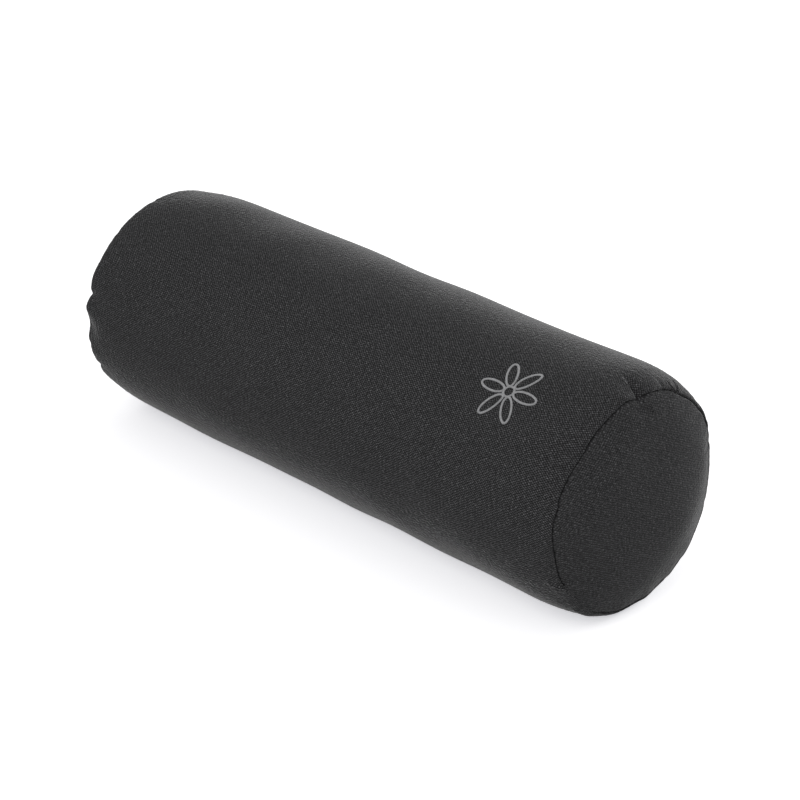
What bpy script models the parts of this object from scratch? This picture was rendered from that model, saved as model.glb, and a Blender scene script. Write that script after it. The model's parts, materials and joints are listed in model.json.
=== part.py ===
"""Round yoga bolster: a zipped canvas cover over a sewn liner bag packed with fibre.

Sizes are in metres. The bolster lies along X with its badge end, the near end, at +X.
+Z is up, the side with the zip faces +Y, and the flattened underside rests on z = 0.
"""

import math
from collections import namedtuple

import bmesh
import bpy

# Whole bolster
LENGTH = 0.650  # over both crowned ends
RADIUS = 0.110
BASE_SINK = 0.005  # how far its own weight flattens the underside

# Ends: the crown stands out of the seam, and the tube rounds in to the seam
NEAR_CROWN = 0.0177
FAR_CROWN = 0.0177
NEAR_DRAW_IN = 0.0113
FAR_DRAW_IN = 0.0059
NEAR_ROUNDING = 0.0529
FAR_ROUNDING = 0.0730

# Cloth and thread
CANVAS = 0.0008
LINER_CLOTH = 0.0005
SEAM_ALLOWANCE = 0.008
THREAD_RADIUS = 0.00025
CLOTH_GAP = 0.0003  # between two layers that lie on each other
THREAD_GAP = 0.00012
LINER_GAP = 0.0007  # between the cover's inside and the liner, which the badge's backing shares
LINER_SEAM_DRAW_IN = 0.002  # the liner's seams sit this much further in than the cover's
PACKING_GAP = 0.0004  # between the liner's inside and the filling

# Badge
BADGE_FROM_SEAM = 0.092  # from the near seam back to the badge's middle
BADGE_ANGLE = 123.1  # degrees round the tube from +Y towards +Z
BADGE_RADIUS = 0.032
BADGE_PETALS = 6
BADGE_STROKE = 0.0022  # width of a satin-stitched line
BADGE_HEIGHT = 0.0006
BADGE_LAP = 0.00005  # each line starts and ends a little off the next one's level
BADGE_PETAL_WIDTH = 0.0100
BADGE_EYE_RADIUS = 0.0052
BACKING_THICKNESS = 0.0003
BACKING_MARGIN = 0.004

# Zip: it lies on a straight line along the tube, and its heights are counted from the tape's top
ZIP_ANGLE = 22.5  # degrees round the tube from +Y towards +Z
SLIT_HALF_WIDTH = 0.0056
SLIT_END = 0.006  # the slit is longer than the coils by this at each end
TAPE_THICKNESS = 0.0006
TAPE_WIDTH = 0.0128
TAPE_TAIL = 0.015  # tape beyond the coils at each end
TAPE_END_CLEARANCE = 0.004  # between the tape's end and the start of the tube's rounding
COIL_RADIUS = 0.0012
COIL_HALF_GAP = 0.0006  # from the zip's middle line to each coil
STITCH_LINE = 0.0086  # from the zip's middle line to each row of stitching
BAR_TACK_HALF_WIDTH = 0.0072
BAR_TACK_LENGTH = 0.0028
STOP_LENGTH = 0.0022
STOP_WALL = 0.0003
SLIDER_LENGTH = 0.011
SLIDER_WALL = 0.0010
SLIDER_CLEARANCE = 0.0003
SLIDER_POST_HALF_WIDTH = 0.0003
SLIDER_POST_LENGTH = 0.0026
BRIDGE_LENGTH = 0.0076
BRIDGE_BAR = 0.0012
BRIDGE_HALF_WIDTH = 0.0008
PULL_LENGTH = 0.028
PULL_THICKNESS = 0.0012
PULL_HALF_WIDTH = 0.0040
PULL_WAIST = 0.0027
PULL_CLEARANCE = 0.0006

# Fineness of the meshes
COVER_SEGMENTS = 48
LINER_SEGMENTS = 24
COVER_ROUNDING_STEPS = 4
LINER_ROUNDING_STEPS = 2
COVER_CROWN_STEPS = 4
LINER_CROWN_STEPS = 2
THREAD_SIDES = 4
COIL_SIDES = 10

# Worked out from the sizes above
AXIS_Z = RADIUS - BASE_SINK
BADGE_X = LENGTH / 2 - NEAR_CROWN - BADGE_FROM_SEAM
REBATE = 2 * CANVAS + CLOTH_GAP  # the doubled rim of an end disc, and its gap, stand in this step
LINER_REBATE = 2 * LINER_CLOTH + CLOTH_GAP
THREAD_ROOM = 2 * (THREAD_RADIUS + THREAD_GAP)
COVER_INSIDE = RADIUS - CANVAS
LINER_DEPTH = CANVAS + LINER_GAP
LINER_END_DEPTH = REBATE + CANVAS + THREAD_ROOM
FILLING_DEPTH = LINER_DEPTH + LINER_CLOTH + PACKING_GAP
FILLING_END_DEPTH = LINER_REBATE + LINER_CLOTH + THREAD_ROOM
HEM_PLANE = COVER_INSIDE * math.cos(2 * math.pi / COVER_SEGMENTS)
TAPE_TOP = HEM_PLANE - CLOTH_GAP
TAPE_BOTTOM = TAPE_TOP - TAPE_THICKNESS
COIL_V = TAPE_TOP + THREAD_GAP + COIL_RADIUS
COIL_U = COIL_HALF_GAP + COIL_RADIUS
COIL_TOP = COIL_V + COIL_RADIUS
SLIDER_ROOF = COIL_TOP + SLIDER_CLEARANCE
SLIDER_TOP = SLIDER_ROOF + SLIDER_WALL
SLIDER_FLOOR = TAPE_BOTTOM - SLIDER_CLEARANCE
SLIDER_INSIDE_HALF_WIDTH = COIL_U + COIL_RADIUS + SLIDER_CLEARANCE
SLIDER_HALF_WIDTH = SLIDER_INSIDE_HALF_WIDTH + SLIDER_WALL
LINER_PLANE = SLIDER_FLOOR - SLIDER_WALL - CLOTH_GAP
STRAIGHT_FAR = -LENGTH / 2 + FAR_CROWN + FAR_ROUNDING
STRAIGHT_NEAR = LENGTH / 2 - NEAR_CROWN - NEAR_ROUNDING
TAPE_FAR = STRAIGHT_FAR + TAPE_END_CLEARANCE
TAPE_NEAR = STRAIGHT_NEAR - TAPE_END_CLEARANCE
COIL_FAR = TAPE_FAR + TAPE_TAIL
COIL_NEAR = TAPE_NEAR - TAPE_TAIL
SLIT_FAR = COIL_FAR - SLIT_END
SLIT_NEAR = COIL_NEAR + SLIT_END
SLIDER_X = COIL_FAR + SLIDER_CLEARANCE + SLIDER_LENGTH / 2
PULL_PIVOT_V = SLIDER_TOP + PULL_CLEARANCE + PULL_THICKNESS / 2

# A point of a turned section: depth is how far it lies inside the outside, which sets how high
# it stays above the floor, and plane is the height of a flat over the zip, where it has one
Point = namedtuple("Point", "x r depth plane", defaults=(0.0, None))

# One end of a bag: side is +1 near and -1 far, and the seam's place is its own
End = namedtuple("End", "side seam_x seam_radius rounding crown")

# Colours are linear red, green and blue
CHARCOAL = (0.032, 0.032, 0.034)
NATURAL = (0.62, 0.57, 0.47)
KAPOK = (0.70, 0.62, 0.44)
BLACK_THREAD = (0.015, 0.015, 0.017)
GREY_THREAD = (0.23, 0.23, 0.24)
WHITE = (0.70, 0.70, 0.68)
BLACK_NYLON = (0.018, 0.018, 0.020)
NICKEL = (0.42, 0.42, 0.44)


def clear_scene():
    """Removes whatever the file opened with."""
    for thing in list(bpy.data.objects):
        bpy.data.objects.remove(thing)


def finish(node, colour, roughness, metallic=0.0):
    """Gives a sub-part a material of its own."""
    material = bpy.data.materials.new(node.name)
    material.use_nodes = True
    shader = material.node_tree.nodes["Principled BSDF"]
    shader.inputs["Base Color"].default_value = (*colour, 1.0)
    shader.inputs["Roughness"].default_value = roughness
    shader.inputs["Metallic"].default_value = metallic
    material.diffuse_color = (*colour, 1.0)
    node.data.materials.append(material)


def mesh_node(name, shape, parent=None, smooth=True):
    """Turns a bmesh into a named object under its group."""
    bmesh.ops.recalc_face_normals(shape, faces=shape.faces)
    mesh = bpy.data.meshes.new(name)
    shape.to_mesh(mesh)
    shape.free()
    if smooth:
        mesh.shade_smooth()
        mesh.set_sharp_from_angle(angle=math.radians(35))
    node = bpy.data.objects.new(name, mesh)
    bpy.context.scene.collection.objects.link(node)
    node.parent = parent
    return node


def empty(name, location, turn=0.0, parent=None):
    """Makes a group's frame, turned about X by an angle in degrees."""
    frame = bpy.data.objects.new(name, None)
    frame.location = location
    frame.rotation_euler = (math.radians(turn), 0.0, 0.0)
    frame.parent = parent
    bpy.context.scene.collection.objects.link(frame)
    return frame


def as_tool(node):
    """Marks a shape that only cuts or joins."""
    node.hide_render = True
    node.display_type = "WIRE"


def combine(node, tool, operation):
    """Cuts a tool out of a node, or joins it on."""
    as_tool(tool)
    boolean = node.modifiers.new(tool.name, "BOOLEAN")
    boolean.operation = operation
    boolean.object = tool


def place(point, angle):
    """The world point of a section's point at an angle round the tube."""
    reach = point.r
    from_zip = math.cos(angle - math.radians(ZIP_ANGLE))
    if point.plane is not None and from_zip > 0:
        reach = min(reach, point.plane / from_zip)
    down = -math.sin(angle)
    if down > 0:
        reach = min(reach, (AXIS_Z - point.depth) / down)
    return (point.x, reach * math.cos(angle), AXIS_Z + reach * math.sin(angle))


def ring_angles(segments):
    """Angles round the tube, with one on the zip's middle line."""
    return [math.radians(ZIP_ANGLE) + 2 * math.pi * i / segments for i in range(segments)]


def turned(name, section, segments, closed, parent):
    """Turns a section about the tube's axis. An open section starts and ends on the axis."""
    shape = bmesh.new()
    angles = ring_angles(segments)
    rings = []
    for point in section:
        if point.r == 0:
            rings.append([shape.verts.new(place(point, 0.0))] * segments)
        else:
            rings.append([shape.verts.new(place(point, angle)) for angle in angles])
    pairs = list(zip(rings, rings[1:]))
    if closed:
        pairs.append((rings[-1], rings[0]))
    for first, second in pairs:
        for i in range(segments):
            j = (i + 1) % segments
            corners = (first[i], first[j], second[j], second[i])
            shape.faces.new(list(dict.fromkeys(corners)))
    return mesh_node(name, shape, parent)


def quarter_turn(steps):
    """Angles from 0 to a right angle."""
    return [math.pi / 2 * i / steps for i in range(steps + 1)]


def rounding(end, radius, depth, steps, plane=None):
    """Points from a seam back to the straight part, on a surface at a depth inside the outside."""
    start = end.seam_x - end.side * end.rounding
    points = []
    for turn in quarter_turn(steps):
        x = start + end.side * (end.rounding - depth) * math.cos(turn)
        r = end.seam_radius + (radius - depth - end.seam_radius) * math.sin(turn)
        points.append(Point(x, r, depth))
    points[-1] = points[-1]._replace(plane=plane)
    return points


def crown_x(end, r):
    """Where the outside of an end disc lies at a radius."""
    return end.seam_x + end.side * end.crown * (1 - (r / end.seam_radius) ** 2)


def allowance_lip(end, rebate, cloth, depth):
    """The tube's seam allowance: a step back at the seam, and a lip behind the disc's rim."""
    tip = end.seam_radius - SEAM_ALLOWANCE
    step = end.seam_x - end.side * rebate
    front = crown_x(end, tip) - end.side * rebate
    return [
        Point(step, end.seam_radius, depth),
        Point(front, tip, depth),
        Point(front - end.side * cloth, tip, depth),
        Point(step - end.side * cloth, end.seam_radius, depth + cloth),
    ]


def bag_tube(name, ends, radius, depth, cloth, rebate, steps, segments, planes, parent):
    """The tube panel of a bag: its wall, rounded in to both seams, with a lip at each."""
    outer_plane, inner_plane = planes
    halves = []
    for end in ends:
        outside = [p._replace(depth=depth) for p in rounding(end, radius, 0.0, steps, outer_plane)]
        inside = rounding(end, radius, cloth, steps, inner_plane)
        inside = [p._replace(depth=depth + cloth) for p in inside]
        root = end.side * (end.seam_x - end.side * (rebate + cloth))
        inside = [p for p in inside if end.side * p.x < root - cloth / 2]
        halves.append((outside, allowance_lip(end, rebate, cloth, depth), inside))
    near, far = halves
    section = near[0][::-1] + near[1] + near[2] + far[2][::-1] + far[1][::-1] + far[0]
    return turned(name, section, segments, True, parent)


def bag_end(name, end, cloth, depth, steps, segments, parent):
    """A crowned disc whose rim is doubled by its turned-in allowance."""
    rim = end.seam_radius - CLOTH_GAP
    fold = end.seam_radius - SEAM_ALLOWANCE
    radii = [rim * i / steps for i in range(steps + 1)]
    outside = [Point(crown_x(end, r), r, depth + CLOTH_GAP) for r in radii]
    doubled = [rim, fold]
    single = [r for r in radii[::-1] if r < fold - cloth]
    if single[0] < fold - 4 * cloth:
        single.insert(0, fold)
    back = [Point(crown_x(end, r) - end.side * 2 * cloth, r, depth + CLOTH_GAP + cloth) for r in doubled]
    back += [Point(crown_x(end, r) - end.side * cloth, r, depth + cloth) for r in single]
    return turned(name, outside + back, segments, False, parent)


def seam_thread(name, end, rebate, cloth, segments, parent):
    """The ring of thread that holds a disc to the tube, behind the tube's lip."""
    r = end.seam_radius - SEAM_ALLOWANCE / 2
    x = crown_x(end, r) - end.side * (rebate + cloth + THREAD_GAP + THREAD_RADIUS)
    section = []
    for i in range(THREAD_SIDES):
        turn = 2 * math.pi * i / THREAD_SIDES
        section.append(Point(x + THREAD_RADIUS * math.cos(turn), r + THREAD_RADIUS * math.sin(turn)))
    return turned(name, section, segments, True, parent)


def inner_ends(ends, end_depth, draw_in):
    """The seams of a bag that lies inside another one."""
    inner = []
    for end in ends:
        seam_x = end.seam_x - end.side * end_depth
        seam_radius = end.seam_radius - draw_in
        inner.append(end._replace(seam_x=seam_x, seam_radius=seam_radius, rounding=end.rounding - end_depth))
    return inner


def cover_ends():
    """The cover's near and far end."""
    near_seam = LENGTH / 2 - NEAR_CROWN
    far_seam = -LENGTH / 2 + FAR_CROWN
    return [
        End(1, near_seam, RADIUS - NEAR_DRAW_IN, NEAR_ROUNDING, NEAR_CROWN),
        End(-1, far_seam, RADIUS - FAR_DRAW_IN, FAR_ROUNDING, FAR_CROWN),
    ]


def cover(group, zip_line):
    """The canvas cover, slit for the zip along its back."""
    ends = cover_ends()
    tube = bag_tube(
        "cover_tube", ends, RADIUS, 0.0, CANVAS, REBATE,
        COVER_ROUNDING_STEPS, COVER_SEGMENTS, (None, HEM_PLANE), group,
    )
    finish(tube, CHARCOAL, 0.9)
    slit_low = HEM_PLANE - CANVAS
    slit_high = RADIUS + CANVAS
    outline = [
        (slit_low, -SLIT_HALF_WIDTH),
        (slit_high, -SLIT_HALF_WIDTH),
        (slit_high, SLIT_HALF_WIDTH),
        (slit_low, SLIT_HALF_WIDTH),
    ]
    combine(tube, along_x("zip_slit", outline, SLIT_FAR, SLIT_NEAR, zip_line), "DIFFERENCE")
    for end, side in zip(ends, ("near", "far")):
        disc = bag_end(f"cover_end_{side}", end, CANVAS, 0.0, COVER_CROWN_STEPS, COVER_SEGMENTS, group)
        finish(disc, CHARCOAL, 0.9)
        thread = seam_thread(f"cover_seam_thread_{side}", end, REBATE, CANVAS, COVER_SEGMENTS, group)
        finish(thread, BLACK_THREAD, 0.6)


def liner(group):
    """The liner bag inside the cover, with the thread that closes it."""
    ends = inner_ends(cover_ends(), LINER_END_DEPTH, LINER_SEAM_DRAW_IN)
    radius = RADIUS - LINER_DEPTH
    planes = (LINER_PLANE, LINER_PLANE - LINER_CLOTH)
    tube = bag_tube(
        "liner_tube", ends, radius, LINER_DEPTH, LINER_CLOTH, LINER_REBATE,
        LINER_ROUNDING_STEPS, LINER_SEGMENTS, planes, group,
    )
    finish(tube, NATURAL, 0.85)
    for end, side in zip(ends, ("near", "far")):
        disc = bag_end(
            f"liner_end_{side}", end, LINER_CLOTH, LINER_DEPTH, LINER_CROWN_STEPS, LINER_SEGMENTS, group,
        )
        finish(disc, NATURAL, 0.85)
        thread = seam_thread(f"liner_seam_thread_{side}", end, LINER_REBATE, LINER_CLOTH, LINER_SEGMENTS, group)
        finish(thread, WHITE, 0.6)
    closing_line = empty("liner_closing_line", (0.0, 0.0, AXIS_Z), ZIP_ANGLE + 180.0, group)
    middle = radius + LINER_GAP / 2
    row = polygon(middle, 0.0, THREAD_RADIUS, THREAD_SIDES)
    closing = along_x("liner_closing_thread", row, STRAIGHT_FAR, STRAIGHT_NEAR, closing_line)
    finish(closing, WHITE, 0.6)


def filling(group):
    """The packed fibre, one plug the shape of the liner's inside."""
    draw_in = LINER_SEAM_DRAW_IN + PACKING_GAP + LINER_CLOTH
    ends = inner_ends(cover_ends(), LINER_END_DEPTH + FILLING_END_DEPTH, draw_in)
    plane = LINER_PLANE - LINER_CLOTH - PACKING_GAP
    halves = []
    for end in ends:
        radii = [end.seam_radius * i / LINER_CROWN_STEPS for i in range(LINER_CROWN_STEPS)]
        crown = [Point(crown_x(end, r), r, FILLING_DEPTH) for r in radii]
        wall = rounding(end, RADIUS - FILLING_DEPTH, 0.0, LINER_ROUNDING_STEPS, plane)
        halves.append(crown + [p._replace(depth=FILLING_DEPTH) for p in wall])
    near, far = halves
    plug = turned("filling", near + far[::-1], LINER_SEGMENTS, False, group)
    finish(plug, KAPOK, 1.0)


def prism(name, outline, start, stop, axes, parent):
    """Extrudes an outline: axes gives where an outline's two numbers and the length go in (x, y, z)."""
    shape = bmesh.new()
    loops = []
    for level in (start, stop):
        loop = []
        for first, second in outline:
            values = (first, second, level)
            loop.append(shape.verts.new([values[i] for i in axes]))
        loops.append(loop)
    count = len(outline)
    for i in range(count):
        j = (i + 1) % count
        shape.faces.new((loops[0][i], loops[0][j], loops[1][j], loops[1][i]))
    shape.faces.new(loops[0])
    shape.faces.new(loops[1][::-1])
    return mesh_node(name, shape, parent)


def along_x(name, outline, start, stop, parent):
    """Extrudes an outline of (v, u) points along the tube: v is out of the tube and u is across the zip."""
    return prism(name, outline, start, stop, (2, 0, 1), parent)


def along_u(name, outline, half_width, parent):
    """Extrudes an outline of (x, v) points to both sides of the zip's middle line."""
    return prism(name, outline, -half_width, half_width, (0, 1, 2), parent)


def along_v(name, outline, low, high, parent):
    """Extrudes an outline of (x, u) points out of the tube."""
    return prism(name, outline, low, high, (0, 2, 1), parent)


def polygon(first, second, radius, sides):
    """A regular outline, with a flat towards the cloth under it."""
    turns = [2 * math.pi * (i + 0.5) / sides for i in range(sides)]
    return [(first + radius * math.cos(turn), second + radius * math.sin(turn)) for turn in turns]


def rectangle(low_a, high_a, low_b, high_b):
    """An outline with square corners."""
    return [(low_a, low_b), (high_a, low_b), (high_a, high_b), (low_a, high_b)]


def surface_v(u):
    """The height of the cover's outside over the zip line, on the flat facets beside it."""
    step = 2 * math.pi / COVER_SEGMENTS
    return RADIUS - abs(u) * (1 - math.cos(step)) / math.sin(step)


def zip_halves(zip_line):
    """A tape, a coil, a top stop and a row of stitching on each side of the zip's middle line."""
    for side, name in ((1, "upper"), (-1, "lower")):
        inner = side * COIL_HALF_GAP
        outer = side * (COIL_HALF_GAP + TAPE_WIDTH)
        tape = along_x(
            f"zip_tape_{name}",
            rectangle(TAPE_BOTTOM, TAPE_TOP, inner, outer),
            TAPE_FAR, TAPE_NEAR, zip_line,
        )
        finish(tape, BLACK_NYLON, 0.8)
        coil = along_x(
            f"zip_coil_{name}",
            polygon(COIL_V, side * COIL_U, COIL_RADIUS, COIL_SIDES),
            COIL_FAR, COIL_NEAR, zip_line,
        )
        finish(coil, BLACK_NYLON, 0.35)
        stop_far = COIL_FAR - CLOTH_GAP - STOP_LENGTH
        stop = along_x(
            f"zip_top_stop_{name}",
            rectangle(TAPE_TOP + THREAD_GAP, COIL_TOP, inner, side * (COIL_U + COIL_RADIUS)),
            stop_far, stop_far + STOP_LENGTH, zip_line,
        )
        soften(stop, STOP_WALL)
        finish(stop, NICKEL, 0.3, 1.0)
        middle = surface_v(STITCH_LINE) + THREAD_GAP + THREAD_RADIUS
        row = along_x(
            f"zip_stitching_{name}",
            polygon(middle, side * STITCH_LINE, THREAD_RADIUS, THREAD_SIDES),
            SLIT_FAR, SLIT_NEAR, zip_line,
        )
        finish(row, BLACK_THREAD, 0.6)


def zip_ends(zip_line):
    """The bottom stop across both coils, and a bar tack over each end of the slit."""
    start = COIL_NEAR + CLOTH_GAP
    reach = COIL_U + COIL_RADIUS
    stop = along_x(
        "zip_bottom_stop",
        rectangle(TAPE_TOP + THREAD_GAP, COIL_TOP, -reach, reach),
        start, start + STOP_LENGTH, zip_line,
    )
    soften(stop, STOP_WALL)
    finish(stop, NICKEL, 0.3, 1.0)
    for x, side in ((SLIT_NEAR, "near"), (SLIT_FAR, "far")):
        low = RADIUS + THREAD_GAP
        tack = along_x(
            f"bar_tack_{side}",
            rectangle(low, low + 2 * THREAD_RADIUS, -BAR_TACK_HALF_WIDTH, BAR_TACK_HALF_WIDTH),
            x - BAR_TACK_LENGTH / 2, x + BAR_TACK_LENGTH / 2, zip_line,
        )
        finish(tack, BLACK_THREAD, 0.6)


def soften(node, width):
    """Rounds the edges of a small metal piece."""
    bevel = node.modifiers.new("edges", "BEVEL")
    bevel.width = width
    bevel.segments = 2
    bevel.limit_method = "ANGLE"


def zip_slider(zip_line):
    """The slider: two plates joined by a post, side flanges, and a bridge that carries the pull."""
    half = SLIDER_LENGTH / 2
    low = TAPE_TOP + SLIDER_CLEARANCE
    wide = SLIDER_HALF_WIDTH
    narrow = SLIDER_INSIDE_HALF_WIDTH
    hood = [
        (low, -wide), (SLIDER_TOP, -wide), (SLIDER_TOP, wide), (low, wide),
        (low, narrow), (SLIDER_ROOF, narrow), (SLIDER_ROOF, -narrow), (low, -narrow),
    ]
    slider = along_x("zip_slider", hood, -half, half, zip_line)
    slider.location = (SLIDER_X, 0.0, 0.0)
    soften(slider, SLIDER_WALL / 4)
    floor = along_x(
        "slider_floor", rectangle(SLIDER_FLOOR - SLIDER_WALL, SLIDER_FLOOR, -wide, wide),
        -half, half, slider,
    )
    soften(floor, SLIDER_WALL / 4)
    bite = SLIDER_WALL / 2
    post = along_u(
        "slider_post",
        rectangle(-half + bite, -half + bite + SLIDER_POST_LENGTH, SLIDER_FLOOR - bite, SLIDER_ROOF + bite),
        SLIDER_POST_HALF_WIDTH, slider,
    )
    reach = BRIDGE_LENGTH / 2
    span = reach - BRIDGE_BAR
    under = PULL_PIVOT_V + PULL_THICKNESS / 2 + PULL_CLEARANCE
    arch = [
        (-reach, SLIDER_TOP - bite), (-reach, under), (-span, under + BRIDGE_BAR),
        (span, under + BRIDGE_BAR), (reach, under), (reach, SLIDER_TOP - bite),
        (span, SLIDER_TOP - bite), (span, under), (-span, under), (-span, SLIDER_TOP - bite),
    ]
    bridge = along_u("slider_bridge", arch, BRIDGE_HALF_WIDTH, slider)
    for tool in (floor, post, bridge):
        combine(slider, tool, "UNION")
    finish(slider, BLACK_NYLON, 0.35, 0.6)
    return slider


def zip_pull(slider):
    """The pull: a waisted tab whose eye goes round the slider's bridge."""
    pivot = empty("zip_pull_pivot", (0.0, PULL_PIVOT_V, 0.0), 0.0, slider)
    lip = PULL_THICKNESS / 2
    eye_half = BRIDGE_HALF_WIDTH + PULL_CLEARANCE
    corner = BRIDGE_LENGTH / 2
    rise = PULL_THICKNESS / 2 + PULL_CLEARANCE + BRIDGE_BAR
    eye_far = math.hypot(corner, rise) + PULL_CLEARANCE
    head = eye_half + PULL_THICKNESS
    tip = PULL_LENGTH - PULL_HALF_WIDTH
    side = [(-lip, head), (eye_far + lip, head), (eye_far + 3 * lip, PULL_WAIST), (tip, PULL_HALF_WIDTH)]
    nose = []
    for i in range(1, 8):
        turn = math.pi / 2 - math.pi * i / 8
        nose.append((tip + PULL_HALF_WIDTH * math.cos(turn), PULL_HALF_WIDTH * math.sin(turn)))
    outline = side + nose + [(x, -u) for x, u in side[::-1]]
    pull = along_v("zip_pull", outline, -lip, lip, pivot)
    soften(pull, PULL_THICKNESS / 5)
    eye = along_v(
        "pull_eye", rectangle(lip, eye_far, -eye_half, eye_half), -PULL_THICKNESS, PULL_THICKNESS, pivot,
    )
    combine(pull, eye, "DIFFERENCE")
    finish(pull, BLACK_NYLON, 0.35, 0.6)


def on_tube(along, across, height):
    """The world point of a place on the badge, wrapped round the tube at a height over the canvas."""
    angle = math.radians(BADGE_ANGLE) + across / RADIUS
    reach = RADIUS + height
    return (BADGE_X + along, reach * math.cos(angle), AXIS_Z + reach * math.sin(angle))


def stroke(name, line, low, high, parent):
    """A closed satin-stitched line round its own middle: line gives (along, across, away along, away across)."""
    shape = bmesh.new()
    half = BADGE_STROKE / 2
    loops = []
    for along, across, away_along, away_across in line:
        loop = []
        for side, height in ((-half, low), (-half, high), (half, high), (half, low)):
            point = on_tube(along + side * away_along, across + side * away_across, height)
            loop.append(shape.verts.new(point))
        loops.append(loop)
    for first, second in zip(loops, loops[1:] + loops[:1]):
        for i in range(4):
            j = (i + 1) % 4
            shape.faces.new((first[i], first[j], second[j], second[i]))
    return mesh_node(name, shape, parent)


def away_from_line(points):
    """Adds to each point of a closed line the direction square to it, pointing outwards."""
    line = []
    for i, (along, across) in enumerate(points):
        before = points[i - 1]
        after = points[(i + 1) % len(points)]
        run = (after[0] - before[0], after[1] - before[1])
        size = math.hypot(*run)
        line.append((along, across, run[1] / size, -run[0] / size))
    return line


def badge(group):
    """A round six-petalled flower in satin stitch."""
    low = CLOTH_GAP - 2 * BADGE_LAP
    high = low + BADGE_HEIGHT
    eye_points = []
    for i in range(24):
        turn = 2 * math.pi * i / 24
        eye_points.append((BADGE_EYE_RADIUS * math.cos(turn), BADGE_EYE_RADIUS * math.sin(turn)))
    flower = stroke("embroidery", away_from_line(eye_points), low, high, group)
    tip = BADGE_RADIUS - BADGE_STROKE / 2
    root = BADGE_EYE_RADIUS + BADGE_STROKE / 4
    middle = (tip + root) / 2
    for petal in range(BADGE_PETALS):
        turn = 2 * math.pi * petal / BADGE_PETALS
        points = []
        for i in range(20):
            step = 2 * math.pi * i / 20
            out = middle - (tip - root) / 2 * math.cos(step)
            across = -BADGE_PETAL_WIDTH / 2 * math.sin(step)
            points.append((
                out * math.cos(turn) - across * math.sin(turn),
                out * math.sin(turn) + across * math.cos(turn),
            ))
        lift = BADGE_LAP * (1 + petal % 2)
        line = away_from_line(points)
        combine(flower, stroke(f"petal_{petal}", line, low + lift, high + lift, group), "UNION")
    finish(flower, GREY_THREAD, 0.5)


def badge_backing(group):
    """The stabiliser sheet behind the badge, as wide as the facets of the cover that it covers."""
    step = 2 * math.pi / COVER_SEGMENTS
    half = BADGE_RADIUS + BACKING_MARGIN
    facets = math.ceil(2 * half / (COVER_INSIDE * step))
    first = round(math.radians(BADGE_ANGLE - ZIP_ANGLE) / step - facets / 2)
    outer = COVER_INSIDE - THREAD_GAP
    inner = outer - BACKING_THICKNESS
    shape = bmesh.new()
    loops = []
    for i in range(facets + 1):
        angle = math.radians(ZIP_ANGLE) + (first + i) * step
        loop = []
        for side, reach in ((-half, outer), (half, outer), (half, inner), (-half, inner)):
            loop.append(shape.verts.new(place(Point(BADGE_X + side, reach), angle)))
        loops.append(loop)
    for before, after in zip(loops, loops[1:]):
        for i in range(4):
            j = (i + 1) % 4
            shape.faces.new((before[i], before[j], after[j], after[i]))
    shape.faces.new(loops[0])
    shape.faces.new(loops[-1][::-1])
    backing = mesh_node("embroidery_backing", shape, group)
    finish(backing, WHITE, 0.9)


def build():
    """Makes every sub-part of the bolster."""
    clear_scene()
    cover_group = empty("cover", (0.0, 0.0, 0.0))
    liner_group = empty("liner", (0.0, 0.0, 0.0))
    zip_line = empty("zip_line", (0.0, 0.0, AXIS_Z), ZIP_ANGLE, cover_group)
    cover(cover_group, zip_line)
    badge(cover_group)
    badge_backing(cover_group)
    zip_halves(zip_line)
    zip_ends(zip_line)
    zip_pull(zip_slider(zip_line))
    liner(liner_group)
    filling(liner_group)


build()
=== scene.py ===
import json
import math
from collections import namedtuple

import bpy
import numpy as np
from mathutils import Matrix, Vector


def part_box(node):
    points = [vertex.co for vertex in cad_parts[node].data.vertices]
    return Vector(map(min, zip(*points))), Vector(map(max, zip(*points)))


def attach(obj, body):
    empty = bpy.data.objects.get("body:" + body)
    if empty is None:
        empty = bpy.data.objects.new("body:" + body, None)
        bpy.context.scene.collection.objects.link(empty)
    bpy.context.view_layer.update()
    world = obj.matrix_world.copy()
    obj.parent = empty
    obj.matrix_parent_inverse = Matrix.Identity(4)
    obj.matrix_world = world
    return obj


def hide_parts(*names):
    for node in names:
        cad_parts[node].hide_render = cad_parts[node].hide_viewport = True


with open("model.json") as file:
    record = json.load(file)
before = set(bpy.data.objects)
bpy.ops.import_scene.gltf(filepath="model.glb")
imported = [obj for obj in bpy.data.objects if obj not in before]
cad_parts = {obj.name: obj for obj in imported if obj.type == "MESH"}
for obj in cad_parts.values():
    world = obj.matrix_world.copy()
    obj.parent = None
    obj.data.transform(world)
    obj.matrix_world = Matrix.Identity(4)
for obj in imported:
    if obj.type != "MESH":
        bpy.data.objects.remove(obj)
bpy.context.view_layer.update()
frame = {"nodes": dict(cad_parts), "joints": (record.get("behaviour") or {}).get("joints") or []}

# The looks of a round yoga bolster in charcoal canvas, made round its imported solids.
# Lengths are in metres. The tube lies along X with its near end, the badge end, at +X. +Z is up, and
# the zip is on the +Y side. A place on the cover is its distance from an end seam and its angle
# round the tube from +Y towards +Z. The distance counts up along the tube and down over the disc.

# Camera, in the photograph's square frame
IMAGE_SIZE = 800
FOCAL_PIXELS = 2603.8
SENSOR = 36.0  # millimetres
CAMERA_AZIMUTH = 46.45
CAMERA_ELEVATION = 25.87
CAMERA_ROLL = -0.35
CAMERA_DISTANCE = 2.3587
CAMERA_TARGET = Vector((0.0342, -0.0124, 0.110))

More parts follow.
